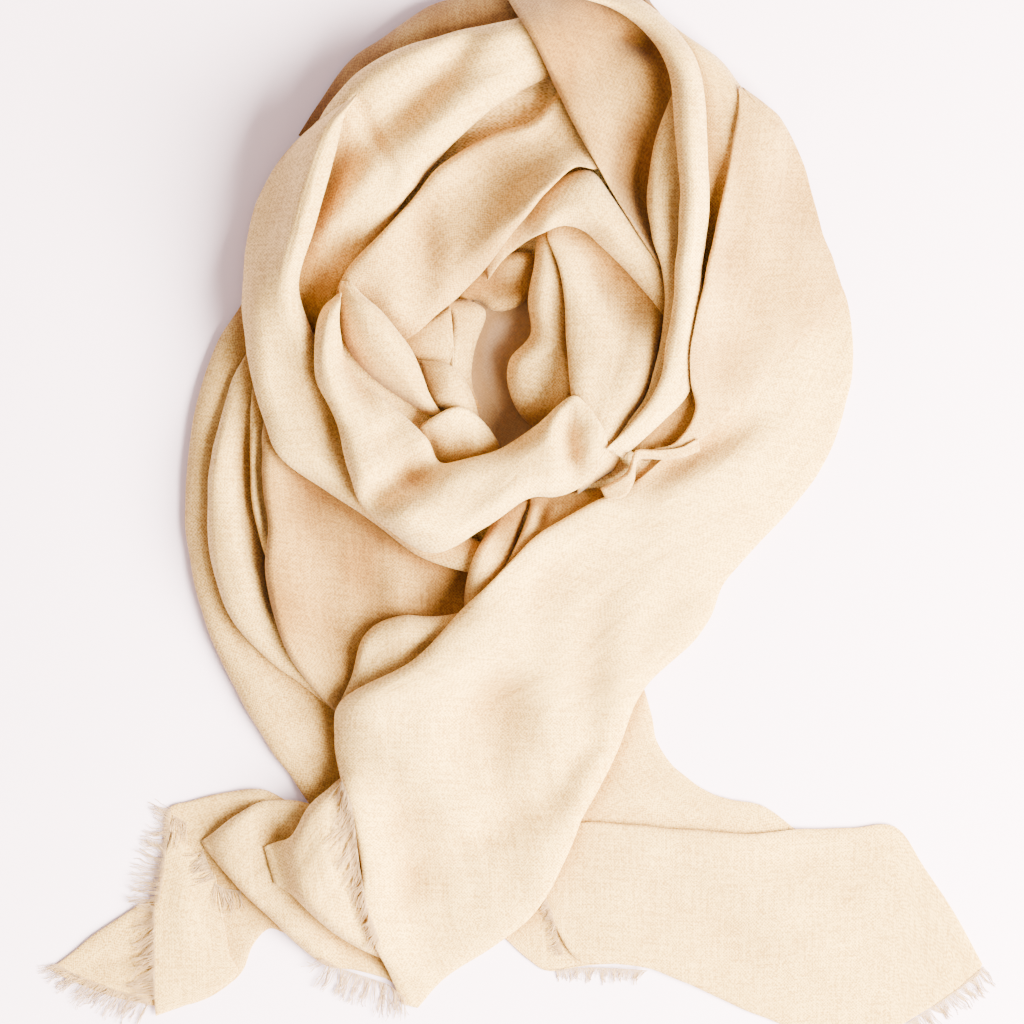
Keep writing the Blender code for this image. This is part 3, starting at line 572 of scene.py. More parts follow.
# --------------------------------------------------------------------------- laying the cloth
class ClothTable:
    """The table that the shawl is laid out on: it lays stretches and makes their meshes."""

    def __init__(self, finish: GauzeFinish, shade: GauzeFinish) -> None:
        """Start with nothing laid.

        Args:
            finish: the cloth's finish.
            shade: a darker, greyer copy of the finish, painted shade for cloth that lies in the shade.
        """
        self.heap = Heap()
        self.finish = finish
        self.shade = shade
        self.seed = 11
        self.laid: list[tuple[bpy.types.Object, np.ndarray, float]] = []

    def columns(self, widths: np.ndarray, stretch: Stretch) -> tuple[np.ndarray, np.ndarray]:
        """Spread every section's points from its left edge to its right edge.

        Args:
            widths: the width of each section.
            stretch: the stretch, for its two rims.

        Returns:
            How far each point is from the left edge, and its share of the loft.
        """
        rolls = stretch.left.roll + stretch.right.roll
        squeeze = np.minimum(1.0, widths / rolls)[:, None]
        rounds, shares = [], []
        for rim in (stretch.left, stretch.right):
            start = -math.radians(ROLL_UNDER)
            turn = np.linspace(start, math.pi / 2, max(6, int(rim.roll * 2.2 / GRID_STEP) + 4))
            rounds.append(rim.roll * (1 - np.cos(turn)))
            shares.append((np.sin(turn) - math.sin(start)) / (1 - math.sin(start)))
        between = np.maximum(widths[:, None] - rolls * squeeze, 0)
        count = max(2, int(between.max() / GRID_STEP))
        flat = np.linspace(0, 1, count + 1)[None, 1:-1] * between
        away = np.concatenate([rounds[0][None, :] * squeeze, stretch.left.roll * squeeze + flat,
                               widths[:, None] - rounds[1][None, ::-1] * squeeze], axis=1)
        share = np.concatenate([shares[0], np.ones(flat.shape[1]), shares[1][::-1]])
        return away, np.repeat(share[None, :], len(widths), axis=0)

    def plan(self, stretch: Stretch, seed: int) -> Plan:
        """Work out where a stretch's points lie in plan, and how far each stands off.

        Args:
            stretch: the stretch.
            seed: the seed of its small unevenness.

        Returns:
            The plan.
        """
        _, length = smoothed(stretch.sections, 2)
        count = max(8, int(length / GRID_STEP))
        rows, length = smoothed(stretch.sections, count)
        u = np.linspace(0, length, count)
        widths = np.maximum(np.hypot(rows[:, 2] - rows[:, 0], rows[:, 3] - rows[:, 1]), 0.5)
        away, share = self.columns(widths, stretch)
        part = away / widths[:, None]
        wobble = soft_noise(u / EDGE_WAVE, np.full(count, 3.3), seed) * EDGE_WOBBLE
        wobble_far = soft_noise(u / EDGE_WAVE, np.full(count, 9.3), seed + 5) * EDGE_WOBBLE
        away = away + wobble[:, None] * (1 - part) + wobble_far[:, None] * part
        x = rows[:, 0:1] + (rows[:, 2:3] - rows[:, 0:1]) / widths[:, None] * away
        y = rows[:, 1:2] + (rows[:, 3:4] - rows[:, 1:2]) / widths[:, None] * away
        loft = np.repeat(np.maximum(rows[:, 4:5], LEAST_LOFT), away.shape[1], axis=1)
        for distance, tucked in ((u, stretch.tucked[0]), (length - u, stretch.tucked[1])):
            if tucked:
                fall = np.clip(distance / TUCK_FALL, 0, 1)
                loft *= (0.1 + 0.9 * np.sqrt(1 - (1 - fall) ** 2))[:, None]
        loft *= 1 + stretch.crown * (4 * part * (1 - part) - 0.6)
        for crease in stretch.creases:
            loft += crease_rise(x, y, crease) * np.minimum(1, share * 1.5)
        small = (soft_noise(u[:, None] / WRINKLE_LENGTH + 7, away / WRINKLE_WIDTH, seed + 1)
                 + 0.5 * soft_noise(u[:, None] / WRINKLE_LENGTH * 2, away / WRINKLE_WIDTH * 2, seed + 2))
        loft += WRINKLE_RISE * small * share * np.minimum(1, loft / 6)
        hem = stretch.left.hem * (1 - part) + stretch.right.hem * part
        along = np.repeat(u[:, None], away.shape[1], axis=1)
        return Plan(x, y, np.maximum(loft, LEAST_LOFT), share, hem, along, away)

    def settle(self, stretch: Stretch) -> Surface:
        """Lay one stretch on the heap.

        Args:
            stretch: the stretch.

        Returns:
            Its surface, clear of everything beneath it.
        """
        self.seed += 10
        plan = self.plan(stretch, self.seed)
        x, y, share, heap = plan.x, plan.y, plan.share, self.heap
        near = heap.grown(HEAP_CELL)
        carried = heap.read(heap.blurred(heap.grown(3 * HEAP_CELL), DRAPE), x, y)
        close = heap.read(heap.blurred(near, CLING), x, y)
        z = share * (carried + plan.loft) + (1 - share) * (close + plan.hem)
        floor = heap.read(heap.blurred(near, 1.2), x, y) + LAYER_GAP
        apart = np.abs(z - floor)
        eased = np.where(apart < REST_BLEND, (REST_BLEND - apart) ** 2 / (4 * REST_BLEND), 0)
        z = np.maximum(np.maximum(z, floor) + eased, CLOTH_THICKNESS + 0.05)
        # the part that is rolled beneath an edge carries nothing
        heap.lay(x, y, np.where(share > 0.12, z, 0.0))
        return Surface(x, y, z, plan.along, plan.across)

    def mesh_object(self, name: str, surface: Surface, finish: GauzeFinish) -> bpy.types.Object:
        """Make a thin cloth shell of a surface.

        Args:
            name: the piece's name.
            surface: the laid surface.
            finish: the cloth's finish.

        Returns:
            The piece, with the cloth's own coordinates as a UV map.
        """
        rows, columns = surface.x.shape
        points = np.stack([surface.x, surface.y, surface.z], axis=-1).reshape(-1, 3) * MM
        index = np.arange(rows * columns).reshape(rows, columns)
        quads = np.stack([index[:-1, :-1], index[1:, :-1], index[1:, 1:], index[:-1, 1:]], axis=-1)
        quads = quads.reshape(-1, 4)
        a, b, d = (points[quads[:, k]] for k in (0, 1, 3))
        if np.cross(b - a, d - a)[:, 2].sum() < 0:
            quads = quads[:, ::-1]
        mesh = bpy.data.meshes.new(name)
        mesh.from_pydata(points.tolist(), [], quads.tolist())
        cloth = mesh.uv_layers.new(name="cloth")
        places = np.stack([surface.along, surface.across], axis=-1).reshape(-1, 2) * MM
        corners = np.empty(len(mesh.loops), np.int32)
        mesh.loops.foreach_get("vertex_index", corners)
        cloth.data.foreach_set("uv", places[corners].astype(np.float32).ravel())
        mesh.materials.append(finish.material())
        mesh.shade_smooth()
        piece = bpy.data.objects.new(name, mesh)
        bpy.context.collection.objects.link(piece)
        shell = piece.modifiers.new("thickness", "SOLIDIFY")
        shell.thickness = CLOTH_THICKNESS * MM
        shell.offset = -1.0
        return piece

    def lay(self, stretch: Stretch) -> tuple[bpy.types.Object, tuple[float, float]]:
        """Lay a stretch, make its shell, hang it on the root body and hide the solid that it stands for.

        Args:
            stretch: the stretch.

        Returns:
            The finished piece, and the width and length it was cut to, in metres.
        """
        surface = self.settle(stretch)
        finish = self.shade if stretch.shaded else self.finish
        piece = self.mesh_object("cloth_" + stretch.name, surface, finish)
        self.laid.append((piece, np.stack([surface.x, surface.y, surface.z]), stretch.sheer_shade))
        _, length = smoothed(stretch.sections, 2)
        width = float(np.hypot(np.diff(surface.x, axis=1), np.diff(surface.y, axis=1)).sum(axis=1).mean())
        rise = float(np.abs(np.diff(surface.z, axis=1)).sum(axis=1).mean())
        width = math.hypot(width, rise)
        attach(piece, "root")
        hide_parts(stretch.name)
        LOG.info("%s: %.0f by %.0f mm, up to %.0f mm high", stretch.name, width, length, surface.z.max())
        return piece, (width * MM, length * MM)

    def paint_shade(self) -> None:
        """Paint shade on each sheet: darker the deeper it lies among its neighbours, and over sheer
        stretches.
        """
        wide, close = (self.heap.blurred(self.heap.top, spread) for spread in (WIDE_HOLLOW, CLOSE_HOLLOW))
        for piece, (x, y, z), sheer_shade in self.laid:
            broad = np.clip((self.heap.read(wide, x, y) - z) / WIDE_HOLLOW, 0, 1)
            tight = np.clip((self.heap.read(close, x, y) - z) / CLOSE_HOLLOW, 0, 1)
            streak = soft_noise(x / SHADE_STREAK[0], y / SHADE_STREAK[1], PATCH_SEED + 1)
            patch = soft_noise(x / SHADE_PATCH, y / SHADE_PATCH, PATCH_SEED) + 0.5 * streak
            # painted shade: hollows from how far each point lies below the softened heap, sheer stretches
            # from their given amount, uneven in patches and streaks
            looks = {"hollow_shade_amount": np.clip(0.75 * broad + 0.4 * tight, 0, 0.95),
                     "thin": np.clip(sheer_shade * (1 + 0.3 * patch), 0, 1)}
            for name, amount in looks.items():
                note = piece.data.attributes.new(name, "FLOAT", "POINT")
                note.data.foreach_set("value", amount.astype(np.float32).ravel())


# ------------------------------------------------------------------------ the hidden layers
@dataclass
class HiddenLayers:
    """The rounded stack of turns that nothing shows of, stepped at its edge like folded cloth."""

    middle: tuple[float, float] = (-4.0, 72.0)
    turn: float = 15.0
    layers: int = 6
    layer_step: float = 0.5
    # inner, ring reach, ring height, reach, ledge; a row for each turn of degrees
    rows: tuple[tuple[float, ...], ...] = (
        (30, 150, 20, 158, 5), (38, 152, 20, 162, 5), (44, 154, 22, 164, 5), (48, 160, 24, 170, 5),
        (52, 160, 24, 172, 5), (54, 162, 24, 176, 5), (54, 168, 24, 180, 5), (54, 158, 24, 172, 5),
        (50, 140, 24, 156, 5), (44, 126, 22, 142, 5), (38, 120, 22, 136, 5), (32, 112, 20, 126, 5),
        (28, 104, 20, 116, 5), (26, 96, 18, 128, 5), (26, 84, 18, 140, 5), (28, 78, 16, 150, 5),
        (34, 78, 16, 150, 5), (42, 84, 16, 215, 7), (46, 92, 16, 236, 8), (44, 100, 18, 176, 8),
        (40, 108, 18, 140, 7), (36, 116, 18, 136, 6), (32, 126, 18, 144, 5), (30, 140, 20, 152, 5))
    # how far out between inner and ring reach, share of the ring's height
    stations: tuple[tuple[float, float], ...] = (
        (0.00, 0.10), (0.04, 0.60), (0.14, 0.96), (0.40, 1.00), (0.72, 0.92), (1.00, 0.42))

    def surface(self) -> Surface:
        """Work out the stack's upper face, finely, with its steps.

        Returns:
            The face, rows round the middle and columns outwards.
        """
        table = np.array(self.rows, float)
        count, fine = len(table), 20
        bearings = np.arange(count * fine + 1) / fine
        ring = np.stack([np.interp(bearings, np.arange(count + 1), np.append(c, c[0])) for c in table.T])
        inner, reach, height, far, ledge = ring
        out, high = [], []
        for place, share in self.stations:
            out.append(inner + place * (reach - inner))
            rise = share * height
            high.append(np.maximum(rise, ledge) if place > 0.5 else rise)
        out += [np.maximum(far - 6, reach + 3), np.maximum(far, reach + 8)]
        high += [ledge * 0.9, ledge * 0.25]
        out, high = np.array(out).T, np.array(high).T
        steps = np.linspace(0, out.shape[1] - 1, 12 * (out.shape[1] - 1) + 1)
        out = np.stack([np.interp(steps, np.arange(out.shape[1]), row) for row in out])
        high = np.stack([np.interp(steps, np.arange(high.shape[1]), row) for row in high])
        high = high + self.layer_step * np.sin(high * self.layers / height.max() * math.tau) - 0.6
        angle = np.radians(bearings * self.turn)[:, None]
        x = self.middle[0] + out * np.cos(angle)
        y = self.middle[1] + out * np.sin(angle)
        z = np.maximum(high, 0.4)
        x[-1], y[-1], z[-1] = x[0], y[0], z[0]
        return Surface(x, y, z, np.repeat(bearings[:, None] * 20, x.shape[1], axis=1), out)

    def build(self, table: ClothTable) -> bpy.types.Object:
        """Build the stack, lay it on the table, hang it on the root body and hide the solid that it stands
        for.

        Args:
            table: where the shawl is laid.

        Returns:
            The piece.
        """
        surface = self.surface()
        table.heap.lay(surface.x, surface.y, surface.z)
        piece = table.mesh_object("hidden_layers", surface, table.finish)
        piece.modifiers.clear()
        mesh = piece.data
        work = bmesh.new()
        work.from_mesh(mesh)
        bmesh.ops.remove_doubles(work, verts=work.verts, dist=1e-6)
        rims = [edge for edge in work.edges if edge.is_boundary]
        made = bmesh.ops.extrude_edge_only(work, edges=rims)["geom"]
        for point in made:
            if isinstance(point, bmesh.types.BMVert):
                point.co.z = 0.0002
        floor_edges = [edge for edge in work.edges if edge.is_boundary]
        bmesh.ops.bridge_loops(work, edges=floor_edges)
        bmesh.ops.recalc_face_normals(work, faces=work.faces)
        work.to_mesh(mesh)
        work.free()
        mesh.shade_smooth()
        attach(piece, "root")
        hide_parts("hidden_layers_core")
        LOG.info("hidden layers: %d points", len(mesh.vertices))
        return piece


# ----------------------------------------------------------------------------------- fringes
class ThreadGroup:
    """The Geometry Nodes tree that grows frayed threads along a cut edge."""

    NAME = "frayed_threads"
    POINTS = 8                  # along one thread

    @classmethod
    def get(cls) -> bpy.types.NodeTree:
        """Return the tree, built once."""
        return bpy.data.node_groups.get(cls.NAME) or cls.build()

    @classmethod
    def build(cls) -> bpy.types.NodeTree:
        """Build the tree.

        The edge is a string of points, each with a vector named reach from its root to its tip.

        Returns:
            The node group.
        """
        group = bpy.data.node_groups.new(cls.NAME, "GeometryNodeTree")
        group.is_modifier = True
        new_socket(group, "Edge", "Geometry")
        new_socket(group, "Gap", "Float", value=0.0003)
        new_socket(group, "Thickness", "Float", value=0.0002)
        new_socket(group, "Curl", "Float", value=0.002)
        new_socket(group, "Spread", "Float", value=0.2)
        new_socket(group, "Clump", "Float", value=0.6)
        new_socket(group, "Seed", "Int", value=1)
        new_socket(group, "Yarn", "Material")
        new_socket(group, "Threads", "Geometry", out=True)
        bench = NodeBench(group)
        inlet, outlet = bench.add("NodeGroupInput").outputs, bench.add("NodeGroupOutput")
        seed, centre = inlet["Seed"], (0.5, 0.5, 0.5)
        as_curve = bench.add("GeometryNodeMeshToCurve", {"Mesh": inlet["Edge"]})
        even = bench.add("GeometryNodeResampleCurve", {
            "Curve": as_curve.outputs["Curve"], "Length": inlet["Gap"]}, mode="LENGTH")
        dots = bench.add("GeometryNodeCurveToPoints", {"Curve": even.outputs["Curve"]}, mode="EVALUATED")
        # one thread: a straight line of points along X, one unit long
        strand = bench.add("GeometryNodeMeshLine", {
            "Count": cls.POINTS, "Offset": (1 / (cls.POINTS - 1), 0, 0)}, mode="OFFSET")
        named = bench.add("GeometryNodeInputNamedAttribute", {"Name": "reach"}, data_type="FLOAT_VECTOR")
        reach = named.outputs["Attribute"]
        length = bench.add("ShaderNodeVectorMath", {0: reach}, operation="LENGTH").outputs["Value"]
        stray = bench.add("FunctionNodeRandomValue", {
            "Min": (-1, -1, -0.25), "Max": (1, 1, 0.35), "Seed": seed}, data_type="FLOAT_VECTOR")
        strayed = bench.scaled(stray.outputs["Value"], bench.maths("MULTIPLY", length, inlet["Spread"]))
        # neighbouring threads lean the same way, so that they gather in clumps
        root = bench.add("GeometryNodeInputPosition")
        drift = bench.add("ShaderNodeTexNoise", {
            "Vector": root.outputs[0], "Scale": 320.0, "Detail": 1.0,
            "W": bench.maths("MULTIPLY", seed, 5.1)}, noise_dimensions="4D")
        lean_by = bench.maths("MULTIPLY", bench.maths("MULTIPLY", length, inlet["Clump"]), 3.0)
        lean = bench.scaled(bench.vector("SUBTRACT", drift.outputs["Color"], centre), lean_by)
        aim = bench.vector("ADD", bench.vector("ADD", reach, lean), strayed)
        align = bench.add("FunctionNodeAlignRotationToVector", {"Vector": aim}, axis="X")
        uneven = bench.add("FunctionNodeRandomValue", {
            2: 0.55, 3: 1.12, "Seed": bench.maths("ADD", seed, 7.0)}, data_type="FLOAT")
        long = bench.maths("MULTIPLY", length, uneven.outputs[1])
        size = bench.add("ShaderNodeCombineXYZ", {"X": long, "Y": long, "Z": long})
        # how far each point is from the thread's root, kept before the threads are made real
        index = bench.add("GeometryNodeInputIndex")
        keep = bench.add("GeometryNodeStoreNamedAttribute", {
            "Geometry": strand.outputs["Mesh"], "Name": "way",
            "Value": bench.maths("DIVIDE", index.outputs[0], cls.POINTS - 1.0)},
            data_type="FLOAT", domain="POINT")
        place = bench.add("GeometryNodeInstanceOnPoints", {
            "Points": dots.outputs["Points"], "Instance": keep.outputs["Geometry"],
            "Rotation": align.outputs["Rotation"], "Scale": size.outputs[0]})
        real = bench.add("GeometryNodeRealizeInstances", {"Geometry": place.outputs["Instances"]})
        # bend and curl, none at the root and most at the tip
        where = bench.add("GeometryNodeInputPosition")
        curl = bench.add("ShaderNodeTexNoise", {
            "Vector": where.outputs[0], "Scale": 130.0, "Detail": 1.5,
            "W": bench.maths("MULTIPLY", seed, 3.7)}, noise_dimensions="4D")
        way = bench.add("GeometryNodeInputNamedAttribute", {"Name": "way"}, data_type="FLOAT")
        strength = bench.maths("MULTIPLY", way.outputs["Attribute"], inlet["Curl"])
        strength = bench.maths("MULTIPLY", strength, 4.0)
        shift = bench.scaled(bench.vector("SUBTRACT", curl.outputs["Color"], centre), strength)
        bend = bench.add("GeometryNodeSetPosition", {"Geometry": real.outputs["Geometry"], "Offset": shift})
        lines = bench.add("GeometryNodeMeshToCurve", {"Mesh": bend.outputs["Geometry"]})
        ring = bench.add("GeometryNodeCurvePrimitiveCircle", {
            "Resolution": 3, "Radius": inlet["Thickness"]})
        tubes = bench.add("GeometryNodeCurveToMesh", {
            "Curve": lines.outputs["Curve"], "Profile Curve": ring.outputs["Curve"], "Fill Caps": True})
        last = bench.add("GeometryNodeRealizeInstances", {"Geometry": tubes.outputs["Mesh"]})
        dressed = bench.add("GeometryNodeSetMaterial", {
            "Geometry": last.outputs["Geometry"], "Material": inlet["Yarn"]})
        bench.feed(outlet.inputs["Threads"], dressed.outputs["Geometry"])
        return group


@dataclass(frozen=True)
class Fringe:
    """The frayed threads of one cut edge, from the cloth's edge to the threads' tips."""

    name: str
    sheet: str                  # the stretch whose edge it is
    edges: tuple[tuple[tuple[float, float, float, float], ...], ...]    # tip x, y, root x, y
    gap: float = 0.3            # from one thread to the next
    spread: float = 0.16
    clump: float = 0.7
    curl: float = 1.8
    thickness: float = 0.17
    seed: int = 1

    def build(self, table: ClothTable, yarn: bpy.types.Material) -> bpy.types.Object:
        """Grow the threads and lay them on what is beneath.

        Args:
            table: where the shawl is laid.
            yarn: the threads' finish.

        Returns:
            The piece, a plain mesh.
        """
        strings, lines, first = [], [], 0
        for edge in self.edges:
            rows = np.array(edge, float)
            even = np.linspace(0, len(rows) - 1, 12 * (len(rows) - 1) + 1)
            strings.append(np.stack([np.interp(even, np.arange(len(rows)), c) for c in rows.T], axis=1))
            lines += [(first + k, first + k + 1) for k in range(len(even) - 1)]
            first += len(even)
        rows = np.concatenate(strings)
        heap = table.heap
        near = heap.blurred(heap.grown(HEAP_CELL), HEAP_CELL)
        root_z = heap.read(near, rows[:, 2], rows[:, 3]) + 0.3
        points = np.column_stack([rows[:, 2:4], root_z]) * MM
        reach = np.column_stack([rows[:, 0:2] - rows[:, 2:4], np.zeros(len(rows))]) * MM
        mesh = bpy.data.meshes.new(self.name)
        mesh.from_pydata(points.tolist(), lines, [])
        mesh.attributes.new("reach", "FLOAT_VECTOR", "POINT").data.foreach_set("vector", reach.ravel())
        edge = bpy.data.objects.new(self.name, mesh)
        bpy.context.collection.objects.link(edge)
        grow = edge.modifiers.new("threads", "NODES")
        grow.node_group = ThreadGroup.get()
        values = {"Gap": self.gap * MM, "Thickness": self.thickness * MM, "Curl": self.curl * MM,
                  "Spread": self.spread, "Clump": self.clump, "Seed": self.seed, "Yarn": yarn}
        for item in grow.node_group.interface.items_tree:
            if item.item_type == "SOCKET" and item.in_out == "INPUT" and item.name in values:
                grow[item.identifier] = values[item.name]
        bpy.context.view_layer.update()
        evaluated = edge.evaluated_get(bpy.context.evaluated_depsgraph_get())
        threads = bpy.data.meshes.new_from_object(evaluated)
        edge.modifiers.clear()
        edge.data = threads
        bpy.data.meshes.remove(mesh)
        places = np.empty(len(threads.vertices) * 3, np.float32)
        threads.vertices.foreach_get("co", places)
        places = places.reshape(-1, 3)
        floor = heap.read(near, places[:, 0] / MM, places[:, 1] / MM) * MM + 0.0003
        places[:, 2] = np.maximum(places[:, 2], floor + np.abs(places[:, 2] - floor) * 0.15)
        places[:, 2] -= (places[:, 2] - floor) * 0.75
        threads.vertices.foreach_set("co", places.ravel())
        threads.shade_smooth()
        edge.name = self.name.replace("fringe", "threads")
        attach(edge, "root")
        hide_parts(self.name)
        LOG.info("%s: %d points", self.name, len(threads.vertices))
        return edge


# ------------------------------------------------------------------- the parts of the shawl
@dataclass
class Part:
    """Some stretches of the cloth that lie together, lowest first, and their frayed edges."""

    stretches: tuple[Stretch, ...] = ()
    fringes: tuple[Fringe, ...] = ()
    rests_on: tuple[str, ...] = ("hidden_layers",)

    def build(self, table: ClothTable, yarn: bpy.types.Material) -> None:
        """Lay the stretches and grow the frayed edges that follow each.

        Args:
            table: where the shawl is laid.
            yarn: the frayed threads' finish.
        """
        laid = [(stretch, *table.lay(stretch)) for stretch in self.stretches]
        frayed = [(fringe.sheet, fringe.build(table, yarn)) for fringe in self.fringes]


@dataclass
class RightEnd(Part):
    """The right-hand frayed end: the layer beneath, the fold at the back and the long flat panel."""

    stretches: tuple[Stretch, ...] = (
        Stretch("right_tail_under", Rim(3, 0.4), Rim(2),
                tucked=(False, False), held=Held.LAID, sections=Section.rows(
            (-11, -184, -5, -213, 1), (4, -184, 9, -225, 1), (17, -184, 20, -230, 1),
            (39, -184, 44, -227, 1), (64, -189, 69, -228, 1), (89, -194, 94, -237, 1))),
        Stretch("right_tail_flap", Rim(5), Rim(6, 0.4), sections=Section.rows(
            (65, -84, 44, -89, 5), (70, -102, 39, -112, 5), (73, -115, 32, -134, 4),
            (82, -128, 27, -153, 4), (93, -137, 54, -164, 3), (108, -144, 89, -167, 3),
            (127, -148, 117, -168, 2.5), (142, -159, 137, -167, 2)), creases=Crease.rows(
            (69, -114, 74, -134, 94, -150, -1.5, 8), (39, -139, 69, -144, 104, -152, 1.5, 7))),
        Stretch("right_tail_main", Rim(4, 0.4), Rim(3, 0.4),
                tucked=(False, False), held=Held.LAID, sections=Section.rows(
            (4, -159, 12, -187, 2), (17, -157, 22, -209, 3), (32, -156, 33, -225, 3),
            (49, -156, 52, -227, 4), (72, -158, 72, -230, 4), (97, -160, 97, -241, 4),
            (122, -161, 122, -252, 4), (147, -159, 147, -262, 3.5), (172, -158, 169, -267, 3),
            (193, -158, 188, -262, 2.5), (207, -178, 203, -253, 2), (222, -201, 218, -244, 2),
            (236, -227, 234, -233, 1.5)), creases=Crease.rows(
            (72, -175, 122, -193, 179, -236, 3.5, 15), (44, -196, 94, -206, 144, -236, -2.5, 13),
            (39, -169, 84, -169, 144, -174, 1.5, 9), (94, -174, 154, -179, 194, -194, -1.5, 12))),
    )
    fringes: tuple[Fringe, ...] = (
        Fringe("fringe_under_end", "right_tail_under", seed=1, edges=(
            ((22, -236, 22, -229.5), (38, -236, 38, -228.5), (52, -236, 54, -229), (66, -236, 68, -230)),)),
        Fringe("fringe_right_end", "right_tail_main", seed=2, edges=(
            ((244, -236, 236.5, -228), (232, -247, 224, -239), (218, -256, 210, -249),
            (204, -264, 197, -257.5)),)),
        Fringe("fringe_under_side", "right_tail_under", seed=3, edges=(
            ((8, -190, 14, -186), (15, -204, 20, -200), (17, -216, 23, -213), (20, -224, 26, -222)),)),
    )
    rests_on: tuple[str, ...] = ("table",)


@dataclass
class LeftEnd(Part):
    """The left-hand frayed end, lying in two layers."""

    stretches: tuple[Stretch, ...] = (
        Stretch("left_tail_base", Rim(4, 0.4), Rim(4, 0.4),
                tucked=(True, False), sheer_shade=0.15, held=Held.LAID, sections=Section.rows(
            (-91, -144, -81, -194, 3), (-106, -148, -96, -209, 4), (-125, -139, -111, -212, 5),
            (-144, -141, -122, -209, 4), (-161, -145, -130, -218, 3), (-173, -150, -135, -230, 2.5),
            (-175, -172, -144, -239, 2.5), (-178, -192, -158, -246, 3), (-190, -199, -172, -248, 3),
            (-209, -212, -190, -246, 3), (-222, -222, -207, -241, 2), (-232, -229, -226, -233, 1)),
            creases=Crease.rows(
            (-181, -196, -176, -219, -177, -249, 2, 6), (-218, -225, -201, -225, -184, -224, -1.5, 3),
            (-141, -139, -125, -144, -106, -150, 2, 6))),
        Stretch("left_tail_top", Rim(2, 0.6), Rim(4, 0.4),
                tucked=(True, False), held=Held.LAID, sections=Section.rows(
            (-170, -159, -149, -182, 2), (-176, -179, -146, -197, 2.5), (-180, -197, -144, -209, 3),
            (-180, -217, -142, -222, 3), (-180, -237, -138, -232, 2.5), (-179, -253, -154, -244, 1.5)),
            creases=Crease.rows(
            (-151, -179, -148, -204, -140, -232, -1.5, 8), (-166, -169, -164, -204, -161, -234, 1.5, 7))),
    )
    fringes: tuple[Fringe, ...] = (
        Fringe("fringe_left_end", "left_tail_base", seed=4, edges=(
            ((-181, -145, -171, -149), (-183, -160, -172, -161), (-188, -170, -174, -173),
            (-192, -184, -175, -184), (-193, -196, -177, -196)),)),
        Fringe("fringe_left_corner", "left_tail_top", seed=5, edges=(
            ((-237, -230, -228, -227), (-233, -238, -221, -231), (-220, -247, -209, -236),
            (-207, -253, -198, -240), (-196, -255, -188, -243), (-186, -256, -181, -246)),
            ((-192, -196, -179, -198), (-191, -214, -179, -208), (-190, -227, -179, -219),
            (-194, -237, -179, -232), (-193, -247, -179, -244)))),
        Fringe("fringe_left_inner", "left_tail_top", seed=6, edges=(
            ((-172, -166, -170, -152), (-162, -168, -163, -156)),
            ((-164, -174, -155, -170), (-161, -186, -149, -184)),
            ((-150, -198, -149, -186), (-144, -202, -144, -189), (-137, -199, -136, -190)))),
    )
    rests_on: tuple[str, ...] = ("table",)


